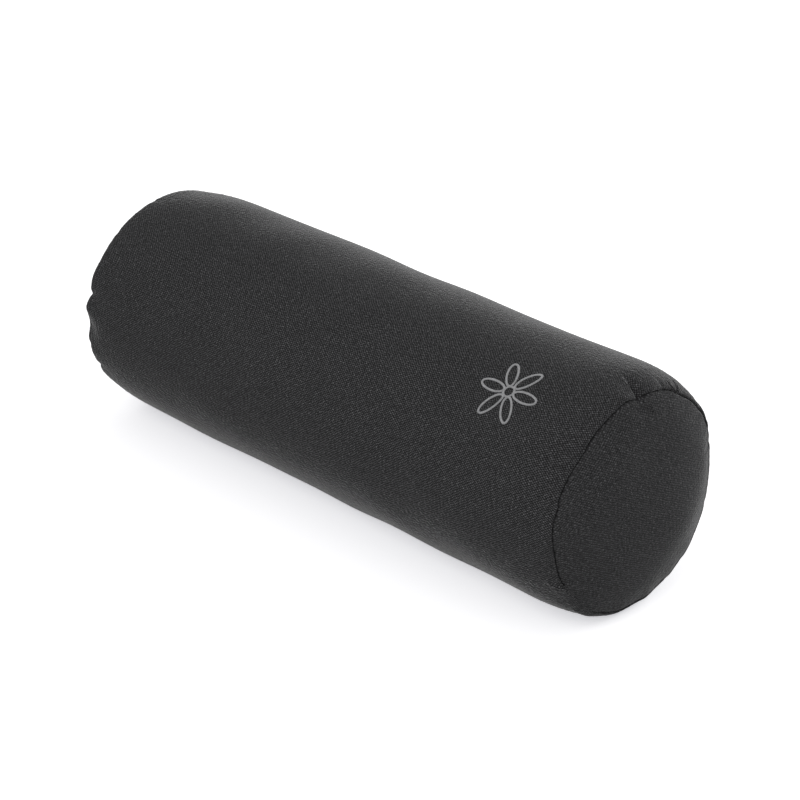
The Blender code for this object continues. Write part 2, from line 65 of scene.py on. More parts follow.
# Frame of the tube and of the zip, read off the solids
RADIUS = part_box("cover_tube")[1].y
AXIS_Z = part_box("cover_tube")[1].z - RADIUS
HINGE = next(joint for joint in frame["joints"] if joint["name"] == "pull_hinge")
ZIP_ANGLE = math.atan2(-HINGE["axis"][1], HINGE["axis"][2])
AXIS = np.array((0.0, 0.0, AXIS_Z))
ALONG = np.array((1.0, 0.0, 0.0))
ACROSS = np.array((0.0, -math.sin(ZIP_ANGLE), math.cos(ZIP_ANGLE)))
OUT = np.array((0.0, math.cos(ZIP_ANGLE), math.sin(ZIP_ANGLE)))

# Cover: two panels meet at each seam, roll over into it and turn back inside as allowances
RIM_GAP = 0.0003
SEAM_OPEN = 0.0004  # how far each panel's edge is drawn back from the seam by its thread
SEAM_ROLL = 0.0017
SEAM_DEPTH = 0.0028
ALLOWANCE = 0.008
DISC_ALLOWANCE_DEPTH = 0.0016
TUBE_ALLOWANCE_DEPTH = 0.0025
DISC_FULLNESS = 3.0  # 2 is an even dome; more is flatter in the middle and rounder at the rim
FLOOR_ROUNDING = 0.002  # how softly the underside flattens on the floor
SLIT_HALF_WIDTH = 0.0056
SLIT_TAPER = 0.005  # the slit narrows to nothing over this length at each end
HEM_ROLL = 0.0006
HEM_WIDTH = 0.0055
HEM_RISE = 0.00035  # the doubled cloth of the hem
HEM_FADE = 0.004  # the hem fades in over this distance from the slit's ends and from the seams
STITCH_DIP, STITCH_DIP_REACH = 0.00035, 0.0009
CLOSING_DIP, CLOSING_DIP_REACH = 0.0006, 0.003  # where the sheet's edges are sewn together beyond the zip

# Cloth simulation of each sewn end
SIM_REACH = 0.064  # along the tube
SIM_DISC_REACH = 0.050
SIM_STEP = 0.0018
SIM_SEGMENTS = 320
SIM_FRAMES = 20
SIM_START_NOISE = 0.0001
SIM_FADE = 0.025  # to nothing at the simulated cloth's borders
CLOTH = {
    "quality": 6,
    "mass": 0.05,
    "tension_stiffness": 30,
    "compression_stiffness": 30,
    "shear_stiffness": 10,
    "bending_stiffness": 0.6,
    "air_damping": 2,
    "use_pressure": True,
    "uniform_pressure_force": 3.0,
}
TUBE_EASE = 0.020  # share by which the tube's cloth is longer than its seam
DISC_EASE = 0.008
EASE_REACH = 0.016
RIPPLE_CAP = 0.0018  # no point moves further than this

# Badge, as in the solid
BADGE_FROM_SEAM = 0.092
BADGE_ANGLE = math.radians(123.1)
BADGE_RADIUS = 0.032
BADGE_PETALS = 6
BADGE_STROKE = 0.0022
BADGE_PETAL_WIDTH = 0.0100
BADGE_EYE_RADIUS = 0.0052
SATIN_WIDTH = BADGE_STROKE * 0.86
SATIN_SPACING = 0.00036
SATIN_SLANT = 0.0007  # how far one tip of a thread lies ahead of the other
SATIN_CREST, SATIN_CREST_STRAY = 0.00042, 0.00004
BACKING_DEPTH, BACKING_THICKNESS = 0.0010, 0.0003

# Threads and the zip's wire and cord, by radius
SEWING_THREAD = 0.00024
EMBROIDERY_THREAD = 0.00021
COIL_WIRE = 0.00030
COIL_CORD = 0.00045
COIL_PITCH = 0.00125
COIL_MESH = 0.0004  # how far each half's loops reach past the zip's middle line
TAPES_APART = 0.00016  # beyond the coils
STITCH_LENGTH = 0.0030
STITCH_PITCH = 0.0035
STITCH_MARGIN = 0.001  # a row stops this far inside the slit's ends
TACK_LEAN = 0.00012  # how far a stitch of a bar tack leans to one side and the other
STITCH_SHARE = np.array((-1.0, -0.85, -0.4, 0.4, 0.85, 1.0))  # points along half a stitch either way

Span = namedtuple("Span", "x_low x_high u_low u_high v_low v_high")
End = namedtuple("End", "name side seam_x seam_r rounding crown")

# A fold runs from one place to another, each a distance from the seam in mm and an angle in degrees.
# Running towards the seam, it is narrower by its steepness on the side of larger angles.
# It dies away over its ending, in mm, beyond the place where it stops.
Fold = namedtuple("Fold", "start stop width height steepness ending", defaults=[1.0, 3.0])
# A swell of the stuffing: x and length in mm, angle and spread in degrees, height in mm
Swell = namedtuple("Swell", "x angle length spread height")
# A kink of a seam out of its circle, in degrees and mm
Kink = namedtuple("Kink", "angle width shift")

FOLDS = {
    "near": [
        Fold((32, 86), (0, 91.5), 6.5, -4.6, 4.0),
        Fold((22, 68), (1, 82), 4.0, 1.4),
        Fold((-3.5, 101), (-5.5, 85), 1.9, 1.1),
        Fold((-4, 104), (-13.5, 84), 5.0, -2.2),
        Fold((15, 66.5), (1, 65), 1.0, 1.3),
        Fold((22, 56), (1, 61), 1.0, 1.5),
        Fold((18, 73), (1, 73), 3.0, -0.8),
        Fold((28, 174), (2, 169), 5.0, -1.5),
        Fold((24, 158), (2, 162), 4.0, 1.1),
        Fold((24, 144), (2, 147), 4.5, -1.0),
        Fold((20, 130), (2, 132), 4.0, 1.0),
        Fold((24, 117), (2, 121), 5.0, -1.0),
        Fold((18, 203), (-2, 210), 3.4, 2.4, 4.0),
        Fold((5, 266), (8, 232), 4.0, 1.0),
        Fold((24, 40), (1, 38), 3.5, -0.8),
        Fold((-2, 66), (-20, 72), 4.0, -0.5),
        Fold((20, 300), (1, 296), 3.5, -0.4),
        Fold((24, 345), (1, 340), 4.0, -0.4),
    ],
    "far": [
        Fold((14, 160), (0, 163), 2.4, -1.6),
        Fold((12, 171), (0, 169.5), 5.0, 0.5),
        Fold((-3.5, 160), (-3.5, 189), 3.2, 4.1, 1.0, 8.0),
        Fold((-3, 198), (-3, 218), 2.6, 2.2, 1.0, 9.0),
        Fold((14, 205), (0, 206), 2.6, -1.2),
        Fold((26, 96), (1, 100), 4.0, -0.5),
        Fold((24, 130), (1, 127), 4.0, -0.5),
        Fold((-1, 60), (-18, 62), 5.0, -1.2),
        Fold((22, 55), (1, 58), 4.0, -1.4),
        Fold((24, 10), (1, 12), 4.0, -1.1),
        Fold((-2, 150), (-22, 146), 5.0, -0.9),
        Fold((20, 320), (1, 324), 4.0, -1.3),
    ],
}
KINKS = {
    "near": [
        Kink(5, 21, -3.8), Kink(11, 2, 0.6), Kink(14.5, 1.8, -0.7), Kink(18.5, 1.6, 0.8), Kink(24, 3, 1.3),
        Kink(32, 6, 1.4), Kink(56, 6, -1.0), Kink(72, 8, 0.8), Kink(91, 3.5, -2.2), Kink(100, 5, 1.4),
        Kink(122, 9, -1.0), Kink(136, 6, -2.4), Kink(157, 7, 2.6), Kink(174, 9, 3.4), Kink(219, 9, -3.4),
        Kink(240, 6, 0.8), Kink(259, 8, 1.4), Kink(281, 5, 1.6), Kink(299, 6, 1.6), Kink(314, 7, 1.9),
        Kink(347, 12, -1.2),
    ],
    "far": [
        Kink(40, 9, 1.2), Kink(76, 20, 1.2), Kink(153, 7, 2.0), Kink(163, 3.0, -1.8), Kink(167.5, 3.0, 1.1),
        Kink(171.5, 3.0, 1.5), Kink(181.5, 6.5, -4.6), Kink(195, 5, 1.2), Kink(206, 3.0, -1.6),
        Kink(208, 8, 1.2), Kink(228, 11, -1.0), Kink(300, 14, 1.0),
    ],
}
KINK_REACH = 0.016
# A fold starts at this share of its width, loses this much of it, and rises over this share of its length
FOLD_WIDE, FOLD_NARROWING, FOLD_RISE = 1.3, 0.5, 0.8
SWELLS = [
    Swell(-30, 58, 230, 30, 2.4),
    Swell(-225, 58, 60, 30, 2.4),
    Swell(-120, 58, 50, 30, 1.0),
    Swell(-110, 58, 170, 26, 1.0),
    Swell(280, 60, 75, 26, 2.2),
    Swell(285, 4, 45, 22, -2.2),
    Swell(0, 215, 200, 26, -2.0),
    Swell(-160, 236, 60, 22, 0.9),
    Swell(30, 236, 40, 22, 1.2),
]
SWELL_FADE = 0.030  # swells fade out over this distance to a seam
SLOW_HEIGHT, DISC_SLOW_HEIGHT = 0.00022, 0.0002
# The cloth is calm within this distance of the zip and fades in over these beside it and beyond its ends
CALM_HALF_WIDTH, CALM_FADE, CALM_END_FADE = 0.014, 0.022, 0.020
# Where the near seam lies closed, the tube's cloth lapping over it: middle and reach in degrees
LAPS = [(224, 17), (354, 30)]
LAP_FADE = 4  # degrees
LAP_REACH, LAP_FORWARD, LAP_INWARD = 0.004, 0.0007, 0.0012
LAP_CLOSING = 0.85  # share of the seam's depth that a lap takes away
# The tube's sheet has finer columns between these angles, in degrees, where its finest folds are
FINE_ANGLES = (52, 100)
# Rings of a panel: from each of these distances to the seam on, they lie this far apart
TUBE_BANDS = [(SEAM_ROLL * 1.5, 0.0010), (0.030, 0.0017), (0.060, 0.0038)]
DISC_BANDS = [(SEAM_ROLL * 1.5, 0.0010), (0.028, 0.0024)]
DISC_COLUMNS, INNER_COLUMNS = 560, 180

# Inside: under the zip, and this far beyond it, the layers stay under a plane where they face it
ZIP_MARGIN, FACING_LIMIT = 0.01, 0.2
INNER_SWELL = 0.0006  # the layers swell no further than this with the cover
LUMP_HEIGHT = 0.0012


def span(node):
    """How far a node reaches along the tube, across the zip and out from the tube's axis."""
    points = np.array([vertex.co for vertex in frame["nodes"][node].data.vertices]) - AXIS
    reaches = []
    for direction in (ALONG, ACROSS, OUT):
        along = points @ direction
        reaches += [float(along.min()), float(along.max())]
    return Span(*reaches)


def cover_ends():
    """The cover's near and far end, from the boxes of its solids."""
    straight = span("liner_closing_thread")
    ends = {}
    for name, side, straight_x in (("near", 1, straight.x_high), ("far", -1, straight.x_low)):
        seam_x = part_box("cover_tube")[side > 0].x
        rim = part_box(f"cover_end_{name}")
        ends[name] = End(
            name, side, seam_x, rim[1].y + RIM_GAP, abs(seam_x - straight_x), abs(rim[side > 0].x - seam_x),
        )
    return ends


ENDS = cover_ends()
STITCHES = span("zip_stitching_upper")
SLIT_FAR, SLIT_NEAR = STITCHES.x_low, STITCHES.x_high
STITCH_U = (STITCHES.u_low + STITCHES.u_high) / 2
BADGE_X = ENDS["near"].seam_x - BADGE_FROM_SEAM


# Small helpers


def smooth(value):
    """Eases from 0 to 1."""
    value = np.clip(value, 0.0, 1.0)
    return value * value * (3 - 2 * value)


def bell(value):
    """1 at zero, dying away to either side."""
    return np.exp(-(value**2))


def steps(start, stop, step):
    """Even steps from start up to stop, which is left out."""
    count = max(1, round((stop - start) / step))
    return list(np.linspace(start, stop, count, endpoint=False))


def banded(bands):
    """Steps through bands, each a start and its step, up to the start of the last."""
    return [place for (start, step), (stop, _) in zip(bands, bands[1:]) for place in steps(start, stop, step)]


def full_turn(count):
    """Even angles once round."""
    return np.linspace(0, math.tau, count, endpoint=False)


def gap(angle, middle):
    """The shorter way round from one angle to another."""
    return (angle - middle + math.pi) % math.tau - math.pi


def run_along(path):
    """The distance along a path at each of its points."""
    return np.concatenate(([0.0], np.cumsum(np.linalg.norm(np.diff(path, axis=0), axis=1))))


def placed(name, data):
    """A new object of some data, in the scene."""
    made = bpy.data.objects.new(name, data)
    bpy.context.scene.collection.objects.link(made)
    return made


# Profiles


def measured(x, r):
    """A profile with the distance along it from its first point."""
    return np.concatenate(([0.0], np.cumsum(np.hypot(np.diff(x), np.diff(r))))), x, r


def tube_line(end):
    """The tube from a seam over its rounding and along to the middle."""
    turn = np.linspace(0.0, math.pi / 2, 500)
    x = end.seam_x - end.side * end.rounding * (1 - np.cos(turn))
    r = end.seam_r + (RADIUS - end.seam_r) * np.sin(turn)
    return measured(np.append(x, 0.0), np.append(r, RADIUS))


def disc_line(end):
    """An end disc from its seam over its crown to the axis."""
    r = np.linspace(end.seam_r - RIM_GAP, 0.0, 400)
    return measured(end.seam_x + end.side * end.crown * (1 - (r / end.seam_r) ** DISC_FULLNESS), r)


TUBE_LINES = {name: tube_line(end) for name, end in ENDS.items()}
DISC_LINES = {name: disc_line(end) for name, end in ENDS.items()}


def section(end, place):
    """The x and r of the cover at some places, and its outward direction there."""
    place = np.atleast_1d(place)
    found = []
    for line, turn in ((TUBE_LINES[end.name], end.side), (DISC_LINES[end.name], -end.side)):
        run, x, r = line
        d = np.abs(place)
        before = np.clip(d - 0.0005, 0.0, run[-1])
        after = np.clip(d + 0.0005, 0.0, run[-1])
        dx = np.interp(after, run, x) - np.interp(before, run, x)
        dr = np.interp(after, run, r) - np.interp(before, run, r)
        size = np.maximum(np.hypot(dx, dr), 1e-9)
        found.append((np.interp(d, run, x), np.interp(d, run, r), turn * dr / size, -turn * dx / size))
    return [np.where(place >= 0, on_tube, on_disc) for on_tube, on_disc in zip(*found)]


def round_axis(x, r, angle):
    """World points from places round the tube's axis."""
    x, r, angle = np.broadcast_arrays(x, r, angle)
    return np.stack((x, r * np.cos(angle), AXIS_Z + r * np.sin(angle)), axis=-1)


def kept_above(points, low, rounding):
    """Lifts points to a height that they lie under, softly where they pass it."""
    z = points[..., 2] - low
    points[..., 2] = low + (z + np.sqrt(z * z + rounding**2)) / 2
    return points


def in_space(x, r, angle):
    """World points from places round the tube's axis, with the underside flattened by the floor."""
    return kept_above(round_axis(x, r, angle), 0.0, FLOOR_ROUNDING)


# Shape of the stuffed cover


def folds(end, place, angle):
    """How far folds raise the cloth at a place."""
    lift = np.zeros(np.broadcast(place, angle).shape)
    for fold in FOLDS[end.name]:
        start, stop = fold.start[0] / 1000, fold.stop[0] / 1000
        first, last = math.radians(fold.start[1]), math.radians(fold.stop[1])
        run = (stop - start, (last - first) * RADIUS)
        off = (place - start, gap(angle, first) * RADIUS)
        size = math.hypot(*run)
        along = (off[0] * run[0] + off[1] * run[1]) / size**2
        aside = (off[1] * run[0] - off[0] * run[1]) / size
        beyond = np.maximum(along - 1, 0) * size
        width = fold.width / 1000 * (FOLD_WIDE - FOLD_NARROWING * np.clip(along, 0, 1))
        width = width / np.where(aside < 0, fold.steepness, 1.0)
        ending = bell(beyond / (fold.ending / 1000))
        lift = lift + fold.height / 1000 * bell(aside / width) * smooth(along / FOLD_RISE) * ending
    return lift


def kinked(end, place, angle):
    """How far a seam stands out of its circle, and draws the cloth beside it along."""
    shift = np.zeros(np.shape(angle))
    for kink in KINKS[end.name]:
        off = gap(angle, math.radians(kink.angle)) / math.radians(kink.width)
        shift = shift + kink.shift / 1000 * bell(off)
    return shift * bell(place / KINK_REACH)


def slow_ripples():
    """The slow unevenness of taut cloth: turns round the tube, waves along it, start and height."""
    draw = np.random.default_rng(7)
    ripples = []
    for _ in range(16):
        around, waves = int(draw.integers(2, 10)), draw.uniform(-60, 60)
        ripples.append((around, waves, draw.uniform(0, math.tau), SLOW_HEIGHT / (1 + around / 5)))
    return ripples


SLOW_RIPPLES = slow_ripples()


def swells(x, angle):
    """How far the stuffing swells or sinks along the tube."""
    lift = np.zeros(np.broadcast(x, angle).shape)
    for swell in SWELLS:
        along = (x - swell.x / 1000) / (swell.length / 1000)
        around = gap(angle, math.radians(swell.angle)) / math.radians(swell.spread)
        lift = lift + swell.height / 1000 * np.exp(-(along**2) - around**2)
    for around, waves, start, height in SLOW_RIPPLES:
        lift = lift + height * np.cos(around * angle + waves * x + start)
    return lift


def disc_swells(y, z):
    """The slow unevenness of an end disc."""
    lift = np.zeros(np.broadcast(y, z).shape)
    draw = np.random.default_rng(9)
    for _ in range(10):
        a, b, start = draw.uniform(-80, 80), draw.uniform(-80, 80), draw.uniform(0, math.tau)
        lift = lift + DISC_SLOW_HEIGHT * np.cos(a * y + b * z + start)
    return lift


def zip_calm(x, angle):
    """1 where the cloth moves freely, down to 0 where the stitched zip holds it flat."""
    beside = smooth((np.abs(gap(angle, ZIP_ANGLE)) * RADIUS - CALM_HALF_WIDTH) / CALM_FADE)
    beyond = smooth(np.maximum(SLIT_FAR - x, x - SLIT_NEAR) / CALM_END_FADE)
    return np.maximum(beside, beyond)


# Cloth simulation


def grid_faces(rows, columns, wrap=False):
    """The four-cornered faces of a grid of points."""
    index = np.arange(rows * columns).reshape(rows, columns)
    if wrap:
        index = np.concatenate((index, index[:, :1]), axis=1)
    corners = (index[:-1, :-1], index[:-1, 1:], index[1:, 1:], index[1:, :-1])
    return np.stack(corners, axis=-1).reshape(-1, 4)


def gathers(end):
    """How unevenly the tube is gathered into its seam, from 0 to 1 round it."""
    draw = np.random.default_rng(21 if end.side > 0 else 22)
    total = np.full(SIM_SEGMENTS, 0.35)
    for _ in range(14):
        middle, width = draw.uniform(0, math.tau), draw.uniform(0.08, 0.28)
        total += draw.uniform(0.2, 0.8) * bell(gap(full_turn(SIM_SEGMENTS), middle) / width)
    return np.clip(total, 0, 1)


def blown_up(end):
    """Blows up a sewn end by cloth simulation, so that its gathered cloth puckers along the seam."""
    tube_places = np.arange(math.floor(SIM_REACH / SIM_STEP), 0, -1) * SIM_STEP
    disc_places = np.arange(1, math.floor(SIM_DISC_REACH / SIM_STEP) + 1) * -SIM_STEP
    places = np.concatenate((tube_places, [0.0], disc_places))
    rows, columns = len(places), SIM_SEGMENTS
    x, r, _, _ = section(end, places)
    ease = np.where(places > 0, TUBE_EASE, DISC_EASE) * bell(places / EASE_REACH)
    cut_r = r[:, None] * (1 + ease[:, None] * gathers(end)[None, :])
    sewn_length = np.hypot(np.diff(x), np.diff(r))[:, None]
    cut_step = np.sqrt(np.maximum(sewn_length**2 - np.diff(cut_r, axis=0) ** 2, 0.0))
    cut_x = x[0] + end.side * np.concatenate((np.zeros((1, columns)), np.cumsum(cut_step, axis=0)))
    turn = full_turn(columns)[None, :]
    draw = np.random.default_rng(11 if end.side > 0 else 12)
    start_r = r[:, None] + draw.normal(0.0, SIM_START_NOISE, (rows, columns))
    faces = grid_faces(rows, columns, wrap=True)[:, :: end.side]
    mesh = bpy.data.meshes.new(f"sewn_{end.name}")
    mesh.from_pydata(round_axis(x[:, None], start_r, turn).reshape(-1, 3).tolist(), [], faces.tolist())
    cloth = placed(mesh.name, mesh)
    held = np.zeros((rows, columns), bool)
    held[[0, 1, len(tube_places), -2, -1]] = True
    pins = cloth.vertex_groups.new(name="held")
    pins.add([int(i) for i in np.flatnonzero(held.ravel())], 1.0, "REPLACE")
    cloth.shape_key_add(name="sewn")
    cut = cloth.shape_key_add(name="cut")
    cut.data.foreach_set("co", round_axis(cut_x, cut_r, turn).astype(np.float32).ravel())
    cut.value = 0.0
    modifier = cloth.modifiers.new("cloth", "CLOTH")
    settings = modifier.settings
    for name, value in CLOTH.items():
        setattr(settings, name, value)
    settings.vertex_group_mass = "held"
    settings.rest_shape_key = cut
    settings.effector_weights.gravity = 0
    modifier.collision_settings.use_collision = False
    modifier.point_cache.frame_start = 1
    modifier.point_cache.frame_end = SIM_FRAMES
    scene = bpy.context.scene
    for number in range(1, SIM_FRAMES + 1):
        scene.frame_set(number)
    shaped_cloth = cloth.evaluated_get(bpy.context.evaluated_depsgraph_get())
    points = np.empty(rows * columns * 3, np.float32)
    shaped_cloth.data.vertices.foreach_get("co", points)
    points = points.reshape(rows, columns, 3)
    scene.frame_set(1)
    bpy.data.objects.remove(cloth)
    moved_r = np.hypot(points[..., 1], points[..., 2] - AXIS_Z) - r[:, None]
    moved = np.stack((points[..., 0] - x[:, None], moved_r), axis=-1)
    moved -= moved.mean(axis=1, keepdims=True)
    moved = RIPPLE_CAP * np.tanh(moved / RIPPLE_CAP)
    to_border = np.minimum(places[0] - places, places - places[-1])
    return places, moved * smooth(to_border / SIM_FADE)[:, None, None]


RIPPLES = {name: blown_up(end) for name, end in ENDS.items()}


def cubic(part):
    """Weights of four neighbouring rows for a smooth curve between the middle two."""
    return (
        (-part + 2 * part**2 - part**3) / 2,
        (2 - 5 * part**2 + 3 * part**3) / 2,
        (part + 4 * part**2 - 3 * part**3) / 2,
        (part**3 - part**2) / 2,
    )


def rippled(end, place, angle):
    """How the simulated cloth of an end moved along X and outwards at a place."""
    places, moved = RIPPLES[end.name]
    place, angle = np.broadcast_arrays(place, angle)
    row = np.clip((places[0] - place) / SIM_STEP, 0, len(places) - 1)
    column = (angle % math.tau) / math.tau * SIM_SEGMENTS
    first_row, first_column = np.floor(row).astype(int), np.floor(column).astype(int)
    total = np.zeros(place.shape + (2,))
    for i, row_weight in enumerate(cubic(row - first_row)):
        rows = np.clip(first_row + i - 1, 0, len(places) - 1)
        for j, column_weight in enumerate(cubic(column - first_column)):
            columns = (first_column + j - 1) % SIM_SEGMENTS
            total += moved[rows, columns] * (row_weight * column_weight)[..., None]
    return total


def stuffed(end, place, x, r, nx, nr, angle):
    """Moves cloth of an end from its plain profile to its stuffed shape."""
    from_seam = smooth(np.abs(place) / SWELL_FADE)
    swell = np.where(place >= 0, swells(x, angle), disc_swells(r * np.cos(angle), r * np.sin(angle)))
    calm = zip_calm(x, angle)
    lift = (folds(end, place, angle) + swell * from_seam) * calm
    moved = rippled(end, place, angle) * calm[..., None]
    over = lapped(end, angle) * np.where(place >= 0, bell(place / LAP_REACH), 0.0)
    new_x = x + nx * lift + moved[..., 0] + end.side * LAP_FORWARD * over
    return new_x, r + nr * lift + moved[..., 1] + kinked(end, place, angle) * calm - LAP_INWARD * over


def lapped(end, angle):
    """1 where the tube's cloth laps over the seam, 0 where the seam lies open."""
    total = np.zeros(np.shape(angle))
    for middle, reach in LAPS if end.name == "near" else []:
        beyond = np.abs(gap(angle, math.radians(middle))) - math.radians(reach)
        total = total + 1 - smooth(beyond / math.radians(LAP_FADE) + 1)
    return total


def tube_lift(x, angle):
    """How far the stuffed tube stands out of its plain round shape."""
    x, angle = np.broadcast_arrays(np.asarray(x, float), np.asarray(angle, float))
    lift = np.zeros(x.shape)
    for end in ENDS.values():
        run, line_x, _ = TUBE_LINES[end.name]
        place = np.interp(-end.side * x, -end.side * line_x, run)
        here = folds(end, place, angle) + swells(x, angle) * smooth(place / SWELL_FADE)
        here = here + rippled(end, place, angle)[..., 1] + kinked(end, place, angle)
        lift = np.where(x * end.side >= 0, here * zip_calm(x, angle), lift)
    return lift


# Making pieces


def piece(name, points, faces, material, nodes, layer=None, where=None):
    """Makes a piece of the bolster that stands for some solids, with a map of where its points lie."""
    mesh = bpy.data.meshes.new(name)
    faces = faces if isinstance(faces, list) else faces.tolist()
    mesh.from_pydata(np.asarray(points).reshape(-1, 3).tolist(), [], faces)
    if layer:
        corner = np.empty(len(mesh.loops), np.int32)
        mesh.loops.foreach_get("vertex_index", corner)
        where = np.asarray(where, np.float32).reshape(-1, 2)
        mesh.uv_layers.new(name=layer).data.foreach_set("uv", where[corner].ravel())
    mesh.shade_smooth()
    mesh.materials.append(material)
    made = placed(name, mesh)
    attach(made, "bolster")
    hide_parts(*nodes)
    return made


def rings_with_lids(rings):
    """The faces of a stack of rings, closed by a flat lid at each end."""
    rows, columns = rings.shape[:2]
    faces = grid_faces(rows, columns, wrap=True).tolist()
    faces.append(list(range(columns))[::-1])
    faces.append([(rows - 1) * columns + i for i in range(columns)])
    return faces


class Bundle:
    """Threads or wires that together make one piece."""

    def __init__(self):
        self.points, self.faces, self.where = [], [], []
        self.count = 0

    def lay(self, path, out, radius, sides=6):
        """Lays a round thread along a path. The direction out never runs along it."""
        path = np.asarray(path, float)
        run = np.gradient(path, axis=0)
        run /= np.linalg.norm(run, axis=1, keepdims=True)
        first = out - run * (run @ out)[:, None]
        first /= np.linalg.norm(first, axis=1, keepdims=True)
        second = np.cross(run, first)
        turn = full_turn(sides)[None, :, None]
        rings = path[:, None] + radius * (first[:, None] * np.cos(turn) + second[:, None] * np.sin(turn))
        self.faces += [[self.count + i for i in face] for face in rings_with_lids(rings)]
        around = np.linspace(0, 1, sides, endpoint=False)
        self.where.append(np.stack(np.meshgrid(run_along(path), around, indexing="ij"), -1).reshape(-1, 2))
        self.points.append(rings.reshape(-1, 3))
        self.count += rings.shape[0] * rings.shape[1]

    def make(self, name, material, nodes):
        """Turns the bundle into a piece."""
        points, where = np.concatenate(self.points), np.concatenate(self.where)
        return piece(name, points, self.faces, material, nodes, "thread", where)


# Materials


def srgb(code):
    """The linear colour of an sRGB hex value."""
    channels = [int(code[i : i + 2], 16) / 255 for i in (1, 3, 5)]
    linear = [c / 12.92 if c <= 0.04045 else ((c + 0.055) / 1.055) ** 2.4 for c in channels]
    return (*linear, 1.0)


def feed(socket, value):
    """Gives a socket a number or another node's output."""
    if isinstance(value, bpy.types.NodeSocket):
        socket.id_data.links.new(value, socket)
    else:
        socket.default_value = value


def add(tree, kind, inputs=(), **settings):
    """Adds a node with its settings, and gives its sockets numbers or other nodes' outputs."""
    node = tree.nodes.new("ShaderNode" + kind)
    for name, value in settings.items():
        setattr(node, name, value)
    for socket, value in dict(inputs).items():
        feed(node.inputs[socket], value)
    return node


def new_material(name):
    """An empty node material and its tree."""
    material = bpy.data.materials.new(name)
    material.use_nodes = True
    return material, material.node_tree


def surface(material, code, tone, height, depth, strength, **sockets):
    """Tints a colour by a tone, raises its relief by a depth, and sets the shader's own sockets."""
    tree = material.node_tree
    shader = tree.nodes["Principled BSDF"]
    colour = add(tree, "VectorMath", {0: srgb(code)[:3], "Scale": tone}, operation="SCALE")
    feed(shader.inputs["Base Color"], colour.outputs[0])
    bump = add(tree, "Bump", {"Strength": strength, "Distance": depth, "Height": height})
    feed(shader.inputs["Normal"], bump.outputs[0])
    for name, value in sockets.items():
        feed(shader.inputs[name.replace("_", " ")], value)
    return material


def worked(tree, operation, *values):
    """The result of one step of arithmetic."""
    return add(tree, "Math", enumerate(values), operation=operation).outputs[0]


def times(tree, first, *others):
    """The product of some values."""
    for other in others:
        first = worked(tree, "MULTIPLY", first, other)
    return first


def ranged(tree, value, low, high, to_low, to_high):
    """A value drawn from one range into another."""
    return add(tree, "MapRange", {0: value, 1: low, 2: high, 3: to_low, 4: to_high}).outputs[0]


def toned(tree, value, low, high):
    """A noise's value drawn from the range that it mostly fills into another."""
    return ranged(tree, value, 0.3, 0.7, low, high)


def ridges(tree, value):
    """Round ridges, one to each whole step of a value."""
    return worked(tree, "ABSOLUTE", worked(tree, "SINE", times(tree, value, math.pi)))


def noise(tree, place, scale, detail, dimensions="2D", **inputs):
    """Noise over a place, in a cloth's flat map or else in space."""
    inputs = {"Vector": place, "Scale": scale, "Detail": detail, **inputs}
    return add(tree, "TexNoise", inputs, noise_dimensions=dimensions).outputs[0]


def mapped(tree, layer):
    """Places in a map of a piece."""
    return add(tree, "UVMap", uv_map=layer).outputs[0]


def in_object(tree):
    """Places in a piece's own space."""
    return add(tree, "TexCoord").outputs["Object"]


def stretched(tree, place, scale):
    """Places scaled along each axis."""
    return add(tree, "Mapping", {"Vector": place, "Scale": scale}).outputs[0]


def plain_weave(tree, spacing, stray=0.5):
    """A plain weave: its height, its top thread's tone and kind, and places counted in threads."""
    place = mapped(tree, "cloth")
    threads = add(tree, "VectorMath", {0: place, 1: (*spacing, 1.0)}, operation="DIVIDE").outputs[0]
    drift = add(tree, "TexNoise", {"Vector": threads, "Scale": 0.18, "Detail": 1.0}, noise_dimensions="2D")
    drift = add(tree, "VectorMath", {0: drift.outputs["Color"], "Scale": stray}, operation="SCALE")
    threads = add(tree, "VectorMath", {0: threads, 1: drift.outputs[0]}, operation="ADD").outputs[0]
    axes = add(tree, "SeparateXYZ", {0: threads}).outputs[:2]
    crowns = [ridges(tree, axis) for axis in axes]
    cells = [worked(tree, "FLOOR", axis) for axis in axes]
    over = worked(tree, "FLOORED_MODULO", worked(tree, "ADD", *cells), 2.0)
    heights, tones = [], []
    for crown, other, stretch in ((*crowns, (1.0, 0.2, 1.0)), (*crowns[::-1], (0.2, 1.0, 1.0))):
        heights.append(times(tree, worked(tree, "POWER", crown, 0.9), worked(tree, "POWER", other, 0.5)))
        tones.append(noise(tree, stretched(tree, threads, stretch), 0.9, 2.0))
    height, tone = (add(tree, "Mix", {0: over, 2: a, 3: b}).outputs[0] for a, b in (heights, tones))
    return height, tone, over, threads


CANVAS_HEX = "#363637"
# Threads round the tube and along it. The real ones, about 0.6 mm apart, would be too fine to show.
CANVAS_SPACING = (0.00115, 0.00167)
CANVAS_END_TURN = math.radians(7.5)  # how far an end disc's threads are turned from level


